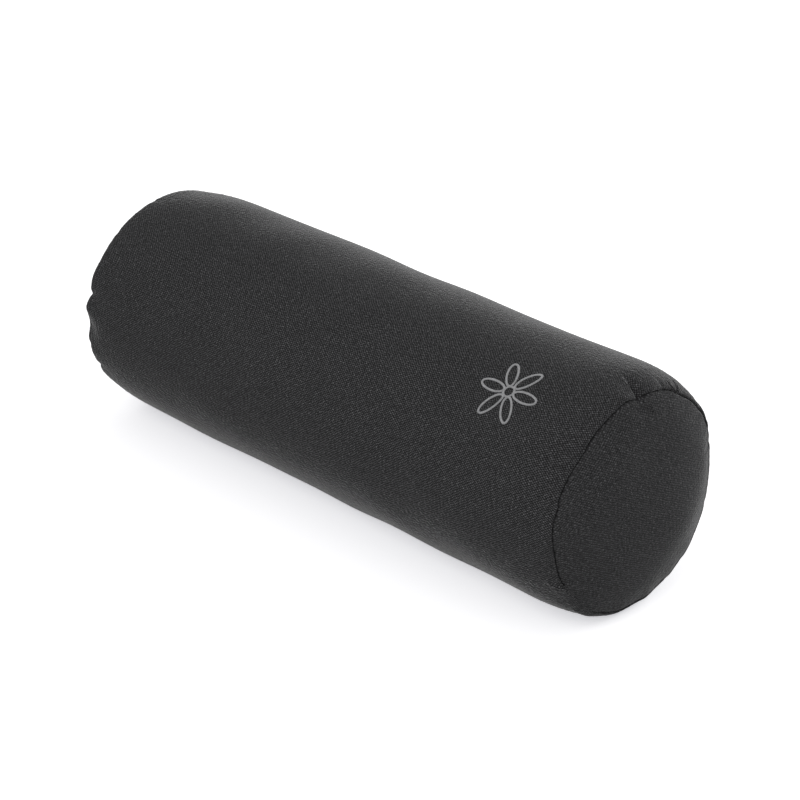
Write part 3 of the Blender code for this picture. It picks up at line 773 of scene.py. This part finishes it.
def canvas_material(name, contrast):
    """Cotton canvas, plain woven from a pale and a dark charcoal yarn: matt, tufted, paler at grazing, with
    painted shade in the hollows between threads.
    """
    material, tree = new_material(name)
    height, yarn, over, threads = plain_weave(tree, CANVAS_SPACING, 1.2)
    fleck = noise(tree, threads, 0.75, 1.0)
    tone = times(
        tree,
        # painted shade: the colour darkens where the weave is low, in the hollows between threads
        ranged(tree, height, 0.0, 0.9, 0.8 - 0.5 * contrast, 1.25),
        toned(tree, yarn, 0.68, 1.32),
        ranged(tree, over, 0.0, 1.0, 1 - contrast, 1 + contrast),
        toned(tree, fleck, 0.65, 1.35),
        toned(tree, noise(tree, mapped(tree, "cloth"), 22.0, 3.0), 0.96, 1.04),
    )
    tone = worked(tree, "ADD", tone, ranged(tree, fleck, 0.68, 0.78, 0.0, 1.2))
    tufts = times(tree, noise(tree, threads, 0.55, 1.0), 11.0 * contrast)
    return surface(
        material, CANVAS_HEX, tone, worked(tree, "ADD", tufts, times(tree, height, 0.3)), 0.00010, 1.0,
        Roughness=0.95, Specular_IOR_Level=0.15, Sheen_Weight=0.44, Sheen_Roughness=0.26,
    )


def yarn_material(name, code, twist, **sockets):
    """Twisted thread: fine slanting plies with painted shade between them, and a soft gleam."""
    material, tree = new_material(name)
    turned = stretched(tree, mapped(tree, "thread"), (1 / twist, 2.0, 1.0))
    ply = ridges(tree, worked(tree, "ADD", *add(tree, "SeparateXYZ", {0: turned}).outputs[:2]))
    patch = noise(tree, in_object(tree), 900.0, 2.0, "3D")
    # painted shade: the colour darkens in the grooves between the plies
    tone = times(tree, ranged(tree, ply, 0.0, 0.8, 0.6, 1.1), toned(tree, patch, 0.7, 1.3))
    return surface(material, code, tone, ply, 0.00006, 0.5, **sockets)


def calico_material():
    """Undyed cotton calico: cream, with slubs, seed flecks and a fine plain weave."""
    material, tree = new_material("undyed_cotton_calico")
    height, yarn, _, threads = plain_weave(tree, (0.0009, 0.0009))
    seed = ranged(tree, noise(tree, threads, 0.4, 0.0), 0.76, 0.80, 1.0, 0.45)
    tone = times(tree, toned(tree, yarn, 0.88, 1.08), seed)
    return surface(material, "#cfc6b0", tone, height, 0.0002, 0.5, Roughness=0.9, Sheen_Weight=0.15)


def kapok_material():
    """Packed kapok: pale golden fibres felted together, with a silky gleam."""
    material, tree = new_material("packed_kapok")
    where = in_object(tree)
    hair = noise(tree, stretched(tree, where, (160.0, 700.0, 700.0)), 1.0, 5.0, "3D", Distortion=1.5)
    clump = noise(tree, where, 35.0, 3.0, "3D")
    tone = times(tree, toned(tree, hair, 0.8, 1.1), toned(tree, clump, 0.85, 1.1))
    return surface(material, "#d9cda8", tone, hair, 0.0012, 0.8, Roughness=0.75, Sheen_Weight=0.5)


def stabiliser_material():
    """Non-woven stabiliser: white, matt, its pressed fibres lying every way."""
    material, tree = new_material("nonwoven_stabiliser")
    fibre = noise(tree, in_object(tree), 900.0, 4.0, "3D", Distortion=2.0)
    return surface(material, "#dcdcd8", toned(tree, fibre, 0.85, 1.0), fibre, 0.0002, 0.4, Roughness=0.95)


def tape_material():
    """Woven polyester zip tape: black, a little shiny, ribbed in a herringbone, with painted shade in the
    grooves between ribs.
    """
    material, tree = new_material("woven_polyester_tape")
    scaled = add(tree, "VectorMath", {0: mapped(tree, "cloth"), "Scale": 1 / 0.0008}, operation="SCALE")
    along, across = add(tree, "SeparateXYZ", {0: scaled.outputs[0]}).outputs[:2]
    rib = ridges(tree, worked(tree, "ADD", along, worked(tree, "PINGPONG", across, 3.0)))
    # painted shade: the colour darkens in the grooves between the ribs
    tone = ranged(tree, rib, 0.0, 1.0, 0.6, 1.2)
    return surface(material, "#1f1f21", tone, rib, 0.00015, 0.6, Roughness=0.7, Sheen_Weight=0.2)


def nylon_material():
    """Nylon monofilament: black drawn wire with a satin gleam and fine draw lines."""
    material, tree = new_material("nylon_monofilament")
    grain = noise(tree, stretched(tree, mapped(tree, "thread"), (60.0, 24.0, 1.0)), 1.0, 2.0)
    tone, gloss = toned(tree, grain, 0.85, 1.15), toned(tree, grain, 0.32, 0.46)
    return surface(material, "#19191b", tone, grain, 0.00002, 0.3, Roughness=gloss, IOR=1.53)


def lacquer_material():
    """Black lacquer on die-cast zinc: glossy, a little uneven, with fine dull scuffs."""
    material, tree = new_material("black_lacquered_zinc")
    where = in_object(tree)
    flow = noise(tree, where, 900.0, 2.0, "3D")
    scuff = noise(tree, where, 450.0, 5.0, "3D", Roughness=0.7)
    tone, gloss = ranged(tree, scuff, 0.4, 0.7, 0.9, 1.7), ranged(tree, scuff, 0.45, 0.65, 0.24, 0.5)
    return surface(
        material, "#202022", tone, flow, 0.0001, 0.15,
        Roughness=gloss, Metallic=0.35, Coat_Weight=0.4, Coat_Roughness=0.15,
    )


# Cover


def seam_edge():
    """A panel's edge rolling over into a seam: distance from the seam, and depth along X."""
    turn = np.linspace(math.pi / 2, 0.0, 7)
    wall = [(SEAM_OPEN, SEAM_DEPTH)]
    return wall + [(SEAM_OPEN + SEAM_ROLL * (1 - math.sin(t)), SEAM_ROLL * (1 - math.cos(t))) for t in turn]


def allowance(end, depth):
    """The hidden turned-in edge of a panel: x and r of its rings."""
    rings = []
    for back in (ALLOWANCE, ALLOWANCE / 2, 0.0008):
        x, r, _, _ = section(end, -back)
        rings.append((float(x[0]) - end.side * depth, float(r[0])))
    return rings


def panel_rings(end, sign, hidden_depth, bands):
    """Rings of a panel from its hidden edge on: place, x, r, depth and outward direction."""
    rings = [(sign * 1e-9, x, r, 0.0, 0.0, 0.0) for x, r in allowance(end, hidden_depth)]
    for d, depth in seam_edge() + [(d, 0.0) for d in banded(bands)]:
        x, r, nx, nr = (float(value[0]) for value in section(end, sign * max(d, 1e-9)))
        rings.append((sign * max(d, 1e-9), x, r, depth, nx, nr))
    return np.array(rings).T[:, :, None]


def hem_edge():
    """The folded edge of the tube's sheet beside the zip: distance from the fold, and depth."""
    under = [(HEM_WIDTH, 2 * HEM_ROLL), (HEM_WIDTH / 2, 2 * HEM_ROLL)]
    turn = np.linspace(-math.pi / 2, math.pi / 2, 8)
    return under + [(HEM_ROLL * (1 - math.cos(t)), HEM_ROLL * (1 - math.sin(t))) for t in turn]


def sheet_columns():
    """Columns of the tube's sheet from one folded edge to the other: distance and depth."""
    full = math.tau * RADIUS
    fine_low, fine_high = ((math.radians(a) - ZIP_ANGLE) * RADIUS for a in FINE_ANGLES)
    bands = [
        (0.0012, 0.0008), (0.014, 0.0014), (fine_low, 0.0005), (fine_high, 0.0013),
        (full - 0.014, 0.0008), (full - 0.0012, 0),
    ]
    middle = [(w, 0.0) for w in banded(bands)]
    last = [(full - w, depth) for w, depth in hem_edge()[::-1]]
    return np.array(hem_edge() + middle + last).T[:, None, :]


def hem_lift(x, aside):
    """The raised hem beside the slit, its row of stitches, and the pull of the closing seam beyond."""
    inside = smooth(np.minimum(x - SLIT_FAR, SLIT_NEAR - x) / HEM_FADE)
    hem = HEM_RISE * smooth((STITCH_U + 0.0002 - aside) / 0.0012)
    stitch = STITCH_DIP * bell((aside - STITCH_U) / STITCH_DIP_REACH)
    seam = CLOSING_DIP * bell(aside / CLOSING_DIP_REACH)
    return inside * (hem - stitch) - (1 - inside) * seam


def canvas_tube(material):
    """The tube: one sheet rolled up, its edges folded in and open along the zip, its ends drawn in."""
    around, fold_depth = sheet_columns()
    full = math.tau * RADIUS
    points, where = [], []
    for end in (ENDS["far"], ENDS["near"]):
        length = TUBE_LINES[end.name][0][-1]
        bands = [*TUBE_BANDS, (length, 0)]
        place, x, r, depth, nx, nr = panel_rings(end, 1, TUBE_ALLOWANCE_DEPTH, bands)
        inside = np.minimum(x - SLIT_FAR, SLIT_NEAR - x) / SLIT_TAPER
        opening = np.arcsin(SLIT_HALF_WIDTH * smooth(inside) / RADIUS)
        unrolled = opening + (math.tau - 2 * opening) * around / full
        angle = ZIP_ANGLE + unrolled
        aside = np.minimum(unrolled, math.tau - unrolled) * RADIUS
        new_x, new_r = stuffed(end, place, x, r, nx, nr, angle)
        held = smooth(place / HEM_FADE)
        new_r = new_r + hem_lift(x, aside) * held - fold_depth * np.maximum(held, 0.2)
        depth = depth * (1 - LAP_CLOSING * lapped(end, angle))
        rows = in_space(new_x - end.side * depth, new_r, angle)
        run = np.broadcast_to(end.side * (length - place), rows.shape[:2])
        points.append(rows[:: -end.side])
        where.append(np.stack((RADIUS * unrolled, run), axis=-1)[:: -end.side])
    points, where = np.concatenate(points), np.concatenate(where)
    faces = grid_faces(*points.shape[:2])
    return piece("canvas_tube", points, faces, material, ["cover_tube"], "cloth", where)


def canvas_end(end, material):
    """An end disc: crowned, puckered at its rim, and doubled there by its turned-in edge."""
    length = DISC_LINES[end.name][0][-1]
    bands = [*DISC_BANDS, (length - 0.001, 0)]
    place, x, r, depth, nx, nr = panel_rings(end, -1, DISC_ALLOWANCE_DEPTH, bands)
    angle = full_turn(DISC_COLUMNS)[None, :]
    new_x, new_r = stuffed(end, place, x, r, nx, nr, angle)
    depth = np.minimum(depth, DISC_ALLOWANCE_DEPTH) * (1 - LAP_CLOSING * lapped(end, angle))
    rings = in_space(new_x - end.side * depth, new_r, angle)
    rows, columns = rings.shape[:2]
    last = (rows - 1) * columns
    faces = grid_faces(rows, columns, wrap=True)[:, :: end.side].tolist()
    faces += [[last + i, last + (i + 1) % columns, rows * columns][:: end.side] for i in range(columns)]
    points = np.concatenate((rings.reshape(-1, 3), rings[-1].mean(axis=0, keepdims=True)))
    c, s = math.cos(CANVAS_END_TURN), math.sin(CANVAS_END_TURN)
    where = np.stack((points[:, 2] * c - points[:, 1] * s, points[:, 1] * c + points[:, 2] * s), axis=-1)
    name = f"canvas_end_{end.name}"
    return piece(name, points, faces, material, [f"cover_end_{end.name}"], "cloth", where)


# Badge


def badge_point(along, across, height):
    """A place on the badge, wrapped round the stuffed tube."""
    x, angle = BADGE_X + along, BADGE_ANGLE + across / RADIUS
    return round_axis(x, RADIUS + tube_lift(x, angle) + height, angle)


def satin_line(bundle, line, draw):
    """Covers a closed line with threads laid across it side by side."""
    closed = np.concatenate((line, line[:1]))
    length = run_along(closed)
    rise = np.array((-0.4, 0.55, 0.95, 0.95, 0.55, -0.4))
    share = np.array((0.0, 0.12, 0.35, 0.65, 0.88, 1.0))
    slant = SATIN_SLANT / 2

    def at(run):
        return np.array([np.interp(run % length[-1], length, closed[:, i]) for i in (0, 1)])

    for k in range(round(length[-1] / SATIN_SPACING)):
        middle = (k + 0.5) * SATIN_SPACING
        tips = []
        for side in (-1, 1):
            here = at(middle + side * slant)
            run = at(middle + side * slant + 0.0004) - here
            run /= np.linalg.norm(run)
            aside = side * np.array((run[1], -run[0])) * SATIN_WIDTH / 2
            tips.append(here + aside * (1 + draw.normal(0.0, 0.05)))
        crest = SATIN_CREST + draw.normal(0.0, SATIN_CREST_STRAY)
        spots = tips[0] * (1 - share[:, None]) + tips[1] * share[:, None]
        path = badge_point(spots[:, 0], spots[:, 1], rise * crest)
        angle = BADGE_ANGLE + spots[2, 1] / RADIUS
        bundle.lay(path, np.array((0.0, math.cos(angle), math.sin(angle))), EMBROIDERY_THREAD)


def embroidery(material):
    """A six-petalled flower in satin stitch: every thread is laid across its line."""
    bundle = Bundle()
    draw = np.random.default_rng(3)
    turn = full_turn(48)
    tip = BADGE_RADIUS - BADGE_STROKE / 2
    root = BADGE_EYE_RADIUS + BADGE_STROKE / 4
    out = (tip + root) / 2 - (tip - root) / 2 * np.cos(turn)
    aside = -BADGE_PETAL_WIDTH / 2 * np.sin(turn)
    lines = [BADGE_EYE_RADIUS * np.stack((np.cos(turn), np.sin(turn)), axis=-1)]
    for petal in range(BADGE_PETALS):
        c, s = math.cos(math.tau * petal / BADGE_PETALS), math.sin(math.tau * petal / BADGE_PETALS)
        lines.append(np.stack((out * c - aside * s, out * s + aside * c), axis=-1))
    for line in lines:
        satin_line(bundle, line, draw)
    return bundle.make("satin_stitch_flower", material, ["embroidery"])


# Zip


def zip_point(x, u, v):
    """A world point from a place along the zip, across it and out from the tube's axis."""
    x, u, v = np.broadcast_arrays(x, u, v)
    return AXIS + x[..., None] * ALONG + u[..., None] * ACROSS + v[..., None] * OUT


def hem_stitches(side, name, material):
    """A row of lockstitches through the hem and the tape."""
    bundle = Bundle()
    surface_v = math.sqrt(RADIUS**2 - STITCH_U**2) - STITCH_DIP + HEM_RISE / 2
    along = np.array((-1.0, -0.9, -0.6, 0.0, 0.6, 0.9, 1.0)) * STITCH_LENGTH / 2
    rise = np.array((-0.0008, -0.0001, 0.00015, 0.0002, 0.00015, -0.0001, -0.0008))
    for k in range(int((SLIT_NEAR - SLIT_FAR - 2 * STITCH_MARGIN) / STITCH_PITCH)):
        x = SLIT_FAR + STITCH_MARGIN + (k + 0.5) * STITCH_PITCH
        bundle.lay(zip_point(x + along, side * STITCH_U, surface_v + rise), ACROSS, SEWING_THREAD)
    return bundle.make(f"lockstitches_{name}", material, [f"zip_stitching_{name}"])


def bar_tack(name, material):
    """Dense stitches across the slit's end, over two long ones that they bind."""
    tack = span(f"bar_tack_{name}")
    bundle = Bundle()
    half = tack.u_high - 0.0003
    middle, wide = (tack.x_low + tack.x_high) / 2, (tack.x_high - tack.x_low) / 2
    base = tack.v_low - 0.0002
    u = np.linspace(-half, half, 14)
    v = base - u**2 / (2 * RADIUS) + 0.0001
    for offset in (-0.3, 0.3):
        bundle.lay(zip_point(middle + offset * wide, u, v), ALONG, SEWING_THREAD)
    rise = np.array((-0.0006, 0.0001, 0.00042, 0.00042, 0.0001, -0.0006))
    for k, u in enumerate(np.linspace(-half, half, 34)):
        lean = STITCH_SHARE * TACK_LEAN * (-1) ** k
        path = zip_point(middle + STITCH_SHARE * wide, u + lean, base - u**2 / (2 * RADIUS) + rise)
        bundle.lay(path, ACROSS, SEWING_THREAD * 0.85)
    return bundle.make(f"bar_tack_stitches_{name}", material, [f"bar_tack_{name}"])


def zip_coil(side, name, material):
    """One half of the zip: a nylon wire wound round a cord into loops that mesh with the other half's."""
    coil = span(f"zip_coil_{name}")
    wire, pitch = COIL_WIRE, COIL_PITCH
    inner, outer = -COIL_MESH, max(abs(coil.u_low), abs(coil.u_high)) - wire
    low, high = coil.v_low + wire, coil.v_high - wire
    step = np.arange(int((coil.x_high - coil.x_low - 2 * wire) / pitch) * 12 + 1) / 12
    turn = math.tau * (step + (0.5 if side > 0 else 0.0))
    u = (inner + outer) / 2 - (outer - inner) / 2 * np.cos(turn)
    v = (low + high) / 2 + (high - low) / 2 * np.sin(turn)
    bundle = Bundle()
    bundle.lay(zip_point(coil.x_low + wire + step * pitch, side * u, v), ALONG, wire)
    cord_x = np.linspace(coil.x_low, coil.x_high, 60)
    bundle.lay(zip_point(cord_x, side * (inner + outer) / 2, (low + high) / 2), ACROSS, COIL_CORD)
    return bundle.make(f"nylon_coil_{name}", material, [f"zip_coil_{name}"])


def zip_tape(name, material):
    """A tape: a flat woven strip with soft edges, which closes up to the other beyond the coils."""
    tape = span(f"zip_tape_{name}")
    coil = span(f"zip_coil_{name}")
    edge = (tape.v_high - tape.v_low) * 0.45
    turn = np.linspace(0, math.pi / 2, 4)
    left, right, bottom, top = tape.u_low + edge, tape.u_high - edge, tape.v_low + edge, tape.v_high - edge
    corners = ((right, top), (left, top), (left, bottom), (right, bottom))
    u, v = [], []
    for quarter, (middle_u, middle_v) in enumerate(corners):
        u += list(middle_u + edge * np.cos(quarter * math.pi / 2 + turn))
        v += list(middle_v + edge * np.sin(quarter * math.pi / 2 + turn))
    last = tape.x_high - edge
    x = np.array([tape.x_low, *steps(tape.x_low + edge, last, 0.002), last, tape.x_high][::-1])[:, None]
    squeeze = np.ones(x.shape)
    squeeze[[0, -1]] = 0.6
    middle = (tape.v_low + tape.v_high) / 2
    across = np.array(u)[None, :]
    inner = min(tape.u_low, tape.u_high, key=abs)
    tail = smooth(np.maximum(coil.x_low - x, x - coil.x_high) / 0.0006)
    left_apart = math.copysign(TAPES_APART / 2, inner)
    closing = tail * (1 - smooth(np.abs(across - inner) / 0.002)) * (inner - left_apart)
    points = zip_point(x, across - closing, middle + squeeze * (np.array(v) - middle)[None, :])
    where = np.stack(np.broadcast_arrays(x, across), axis=-1)
    node, faces = f"zip_tape_{name}", rings_with_lids(points)
    return piece(f"woven_tape_{name}", points, faces, material, [node], "cloth", where)


def zip_stop(name, material):
    """A crimped metal stop, rounded all over."""
    stop = span(name)
    edge, squareness = 0.0005, 0.35
    half = [(high - low) / 2 for low, high in zip(stop[::2], stop[1::2])]
    middle = [(high + low) / 2 for low, high in zip(stop[::2], stop[1::2])]
    x = np.linspace(1, -1, 9)[:, None] * half[0]
    rounding = np.maximum(np.abs(x) - (half[0] - edge), 0) / edge
    inset = edge * (1 - np.sqrt(np.maximum(1 - rounding**2, 0.02)))
    turn = full_turn(28)[None, :]
    u = np.sign(np.cos(turn)) * np.abs(np.cos(turn)) ** squareness
    v = np.sign(np.sin(turn)) * np.abs(np.sin(turn)) ** squareness
    points = zip_point(middle[0] + x, middle[1] + u * (half[1] - inset), middle[2] + v * (half[2] - inset))
    return piece(f"crimped_{name}", points, rings_with_lids(points), material, [name])


# Inside the cover


def under_cover(x, r, angle, node):
    """Points of an inner layer, which follows the cover's shape and stays over its solid's underside."""
    plane = span(node).v_high
    lift = np.minimum(tube_lift(x, angle), INNER_SWELL)
    facing = np.cos(gap(angle, ZIP_ANGLE))
    beside_zip = (x > SLIT_FAR - ZIP_MARGIN) & (x < SLIT_NEAR + ZIP_MARGIN)
    flat_r = plane / np.maximum(facing, FACING_LIMIT)
    new_r = np.minimum(r + lift, np.where((facing > FACING_LIMIT) & beside_zip, flat_r, 1.0))
    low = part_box(node)[0].z
    return kept_above(in_space(x, new_r, angle), low, FLOOR_ROUNDING / 2)


def inner_half(end, node, radius, tip=None):
    """Half the profile of an inner layer: its seam's x and r, and its x and r from there to the middle."""
    seam_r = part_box(f"liner_end_{end.name}")[1].y
    seam_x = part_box(node)[end.side > 0].x if tip is None else tip - end.side * end.crown
    rounding = end.rounding - abs(end.seam_x - seam_x)
    turn = np.linspace(0.0, math.pi / 2, 20)
    x = seam_x - end.side * rounding * (1 - np.cos(turn))
    r = seam_r + (radius - seam_r) * np.sin(turn)
    straight = np.linspace(x[-1], 0.0, 50)[1:-1]
    return seam_x, seam_r, np.append(x, straight), np.append(r, np.full(len(straight), radius))


def end_to_end(halves):
    """A whole profile, x and r in columns, from its far and near half, each running to the middle."""
    far, near = halves
    return [np.concatenate((a, b[::-1]))[:, None] for a, b in zip(far, near)]


def liner_tube(material):
    """The liner's tube: calico pressed against the cover from inside."""
    angle = ZIP_ANGLE + math.pi + np.linspace(0, math.tau, INNER_COLUMNS + 1)[None, :]
    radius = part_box("liner_tube")[1].y
    halves = []
    for end in (ENDS["far"], ENDS["near"]):
        seam_x, seam_r, x, r = inner_half(end, "liner_tube", radius)
        x = np.concatenate(((seam_x + end.side * 0.0008, seam_x - end.side * 0.0009), x))
        halves.append((x, np.concatenate(((seam_r - ALLOWANCE, seam_r - 0.0004), r))))
    x, r = end_to_end(halves)
    points = under_cover(x, r, angle, "liner_tube")
    where = np.stack(np.broadcast_arrays(RADIUS * angle, x), axis=-1)
    faces = grid_faces(*points.shape[:2])
    return piece("calico_tube", points, faces, material, ["liner_tube"], "cloth", where)


def liner_end(end, material):
    """A disc of the liner, crowned under the cover's disc."""
    node = f"liner_end_{end.name}"
    seam_r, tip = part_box(node)[1].y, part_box(node)[end.side > 0].x
    seam_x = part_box("liner_tube")[end.side > 0].x
    r = np.concatenate(((seam_r - ALLOWANCE, seam_r - 0.001), np.linspace(seam_r, 0.0008, 36)))[:, None]
    x = seam_x + (tip - seam_x) * (1 - (r / seam_r) ** 2)
    x[:2] -= end.side * 0.0009
    angle = full_turn(INNER_COLUMNS)[None, :]
    dip = np.minimum(folds(end, r - seam_r - 0.001, angle), 0.0)
    points = in_space(x + end.side * dip, r, angle)
    points[..., 2] = np.maximum(points[..., 2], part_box("liner_tube")[0].z)
    faces = grid_faces(*points.shape[:2], wrap=True)[:, :: end.side].tolist()
    last = (len(r) - 1) * angle.size
    faces.append([last + i for i in range(angle.size)][:: end.side])
    name = f"calico_end_{end.name}"
    return piece(name, points, faces, material, [node], "cloth", points[..., 1:])


def filling(material):
    """The packed fibre: one lumpy plug in the shape of the liner."""
    angle = full_turn(INNER_COLUMNS)[None, :]
    low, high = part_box("filling")
    halves = []
    for end, tip in ((ENDS["far"], low.x), (ENDS["near"], high.x)):
        seam_x, seam_r, x, r = inner_half(end, "filling", high.y, tip)
        disc_r = np.linspace(0.0008, seam_r - 0.002, 24)
        x = np.append(seam_x + end.side * end.crown * (1 - (disc_r / seam_r) ** 2), x)
        halves.append((x, np.append(disc_r, r - 0.0006)))
    x, r = end_to_end(halves)
    draw = np.random.default_rng(5)
    lump = 0.0
    for _ in range(20):
        turns, waves, start = draw.integers(2, 14), draw.uniform(-90, 90), draw.uniform(0, 6)
        lump = lump + np.cos(turns * angle + waves * x + start) / 20
    points = under_cover(x, r + (lump - 0.45) * LUMP_HEIGHT * smooth(r / 0.05), angle, "filling")
    return piece("kapok_filling", points, rings_with_lids(points), material, ["filling"])


def ring_stitches(node, name, material):
    """A ring of lockstitches through a seam's turned-in edges."""
    low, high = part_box(node)
    x, r = (low.x + high.x) / 2, high.y - SEWING_THREAD
    side = 1 if x > 0 else -1
    bundle = Bundle()
    count = int(math.tau * r / STITCH_PITCH)
    dip = np.array((1.0, 0.35, 0.0, 0.0, 0.0, 0.35, 1.0)) * 0.0005
    for k in range(count):
        turn = math.tau * (k + np.array((-0.43, -0.38, -0.2, 0.0, 0.2, 0.38, 0.43))) / count
        path = round_axis(x + side * dip, r, turn)
        path[:, 2] = np.maximum(path[:, 2], low.z + SEWING_THREAD)
        bundle.lay(path, ALONG, SEWING_THREAD)
    return bundle.make(name, material, [node])


def closing_stitches(material):
    """The line of stitches that closes the liner along its length."""
    low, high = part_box("liner_closing_thread")
    bundle = Bundle()
    angle = math.atan2((low.z + high.z) / 2 - AXIS_Z, (low.y + high.y) / 2)
    outward = np.array((0.0, math.cos(angle), math.sin(angle)))
    r = math.hypot((low.z + high.z) / 2 - AXIS_Z, (low.y + high.y) / 2)
    dip = np.array((0.0005, 0.00015, 0.0, 0.0, 0.00015, 0.0005))
    for k in range(int((high.x - low.x) / STITCH_PITCH)):
        x = low.x + (k + 0.5) * STITCH_PITCH + STITCH_SHARE * STITCH_LENGTH / 2
        out = r + np.minimum(tube_lift(x, angle + 0 * x), 0.0) - dip
        path = AXIS + x[:, None] * ALONG + out[:, None] * outward
        bundle.lay(path, np.cross(outward, ALONG), SEWING_THREAD)
    return bundle.make("calico_closing_stitches", material, ["liner_closing_thread"])


def stabiliser(material):
    """The stabiliser behind the badge, curved with the cloth it is stitched to."""
    low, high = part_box("embroidery_backing")
    count, half = 40, (high.x - low.x) / 2
    x = np.linspace(low.x, high.x, count)[:, None]
    angle = BADGE_ANGLE + np.linspace(-half, half, count)[None, :] / RADIUS
    outer = RADIUS - BACKING_DEPTH + tube_lift(x, angle)
    points = np.concatenate((in_space(x, outer, angle), in_space(x, outer - BACKING_THICKNESS, angle)))
    top = grid_faces(count, count)
    faces = top.tolist() + (top[:, ::-1] + count**2).tolist()
    ahead = list(range(count - 1))
    rim = ahead + [count * i + count - 1 for i in ahead]
    rim += [count * (count - 1) + count - 1 - i for i in ahead] + [count * (count - 1 - i) for i in ahead]
    faces += [[j, i, i + count**2, j + count**2] for i, j in zip(rim, rim[1:] + rim[:1])]
    return piece("stabiliser_sheet", points, faces, material, ["embroidery_backing"])


# Studio

WORLD_LIGHT = 0.53
FLOOR_PAPER = (1.0, 1.0, 0.98, 1.0)
FLOOR_GLOW = (0.51, 0.51, 0.535, 1.0)
Lamp = namedtuple("Lamp", "name place size power")
LAMPS = [
    Lamp("right", (2.6, 0.3, 0.8), 1.6, 4.6),
    Lamp("front", (0.3, -1.4, 1.15), 1.2, 9.5),
    Lamp("back", (0.3, 2.4, 0.7), 1.4, 34.0),
]
LAMPS_AIM = Vector((0.0, 0.0, 0.1))
FLOOR_SIZE = 6.0  # from its middle to a side


def seen_directly(tree):
    """1 for what the camera sees, also in a reflection or through glass."""
    rays = add(tree, "LightPath").outputs
    total = rays["Is Camera Ray"]
    for name in ("Is Glossy Ray", "Is Transmission Ray"):
        total = add(tree, "Math", {0: total, 1: rays[name]}, operation="ADD", use_clamp=True).outputs[0]
    return total


def studio():
    """A white floor that keeps only the bolster's shadow, and plain soft light."""
    mesh = bpy.data.meshes.new("floor")
    corners = [(x * FLOOR_SIZE, y * FLOOR_SIZE, 0.0) for x, y in ((-1, -1), (1, -1), (1, 1), (-1, 1))]
    mesh.from_pydata(corners, [], [(0, 1, 2, 3)])
    floor = placed("floor", mesh)
    material, tree = new_material("white_floor")
    tree.nodes.remove(tree.nodes["Principled BSDF"])
    paper = add(tree, "BsdfDiffuse", {"Color": srgb("#d4d4d4")})
    matt = add(tree, "BsdfDiffuse", {"Color": FLOOR_PAPER})
    glow = add(tree, "Emission", {"Color": FLOOR_GLOW, "Strength": 1.0})
    bright = add(tree, "AddShader", {0: matt.outputs[0], 1: glow.outputs[0]})
    mix = add(tree, "MixShader", {0: seen_directly(tree), 1: paper.outputs[0], 2: bright.outputs[0]})
    tree.links.new(mix.outputs[0], tree.nodes["Material Output"].inputs["Surface"])
    mesh.materials.append(material)

    world = bpy.data.worlds.new("studio")
    bpy.context.scene.world = world
    world.use_nodes = True
    tree = world.node_tree
    dim = add(tree, "Background", {"Color": (1.0, 1.0, 1.0, 1.0), "Strength": WORLD_LIGHT})
    white = add(tree, "Background", {"Color": (1.0, 1.0, 1.0, 1.0), "Strength": 1.0})
    mix = add(tree, "MixShader", {0: seen_directly(tree), 1: dim.outputs[0], 2: white.outputs[0]})
    tree.links.new(mix.outputs[0], tree.nodes["World Output"].inputs["Surface"])

    for lamp in LAMPS:
        data = bpy.data.lights.new(lamp.name, "AREA")
        data.shape = "DISK"
        data.size = lamp.size
        data.energy = lamp.power
        light = placed(lamp.name, data)
        light.location = lamp.place
        light.rotation_euler = (LAMPS_AIM - light.location).to_track_quat("-Z", "Y").to_euler()


def camera():
    """The photograph's camera."""
    azimuth, elevation, roll = (math.radians(a) for a in (CAMERA_AZIMUTH, CAMERA_ELEVATION, CAMERA_ROLL))
    level = math.cos(elevation)
    back = Vector((math.sin(azimuth) * level, -math.cos(azimuth) * level, math.sin(elevation)))
    right = Vector((0.0, 0.0, 1.0)).cross(back).normalized()
    up = back.cross(right)
    rolled_right = right * math.cos(roll) + up * math.sin(roll)
    rolled_up = up * math.cos(roll) - right * math.sin(roll)
    lens = bpy.data.cameras.new("camera")
    lens.sensor_width = SENSOR
    lens.lens = FOCAL_PIXELS * SENSOR / IMAGE_SIZE
    lens.clip_end = 50
    eye = placed("camera", lens)
    turn = Matrix((rolled_right, rolled_up, back)).transposed().to_4x4()
    eye.matrix_world = Matrix.Translation(CAMERA_TARGET + back * CAMERA_DISTANCE) @ turn
    bpy.context.scene.camera = eye


def repaint(node, material):
    """Gives a kept solid its finish."""
    thing = frame["nodes"][node]
    thing.data.materials.clear()
    thing.data.materials.append(material)


def build():
    """Makes the whole scene."""
    bpy.context.scene.view_settings.view_transform = "Standard"
    camera()
    studio()
    canvas = canvas_material("charcoal_cotton_canvas", 0.70)
    # The ends get a copy of the canvas whose weave tone is flatter, painted to stand for the softer light
    # that falls on the ends.
    end_canvas = canvas_material("charcoal_cotton_canvas_end", 0.42)
    black = yarn_material("black_polyester_thread", "#1c1c1e", 0.0005, Roughness=0.6, Sheen_Weight=0.2)
    grey = yarn_material("grey_rayon_thread", "#98989a", 0.0009, Roughness=0.38, Sheen_Weight=0.3)
    white = yarn_material("white_cotton_thread", "#dedcd4", 0.0005, Roughness=0.7, Sheen_Weight=0.3)
    calico = calico_material()
    lacquer = lacquer_material()
    nylon = nylon_material()
    tape = tape_material()
    canvas_tube(canvas)
    for end in ENDS.values():
        canvas_end(end, end_canvas)
        ring_stitches(f"cover_seam_thread_{end.name}", f"seam_stitches_{end.name}", black)
        liner_end(end, calico)
        ring_stitches(f"liner_seam_thread_{end.name}", f"calico_stitches_{end.name}", white)
        bar_tack(end.name, black)
    embroidery(grey)
    stabiliser(stabiliser_material())
    for side, name in ((1, "upper"), (-1, "lower")):
        zip_tape(name, tape)
        zip_coil(side, name, nylon)
        zip_stop(f"zip_top_stop_{name}", lacquer)
        hem_stitches(side, name, black)
    zip_stop("zip_bottom_stop", lacquer)
    repaint("zip_slider", lacquer)
    repaint("zip_pull", lacquer)
    liner_tube(calico)
    closing_stitches(white)
    filling(kapok_material())


build()
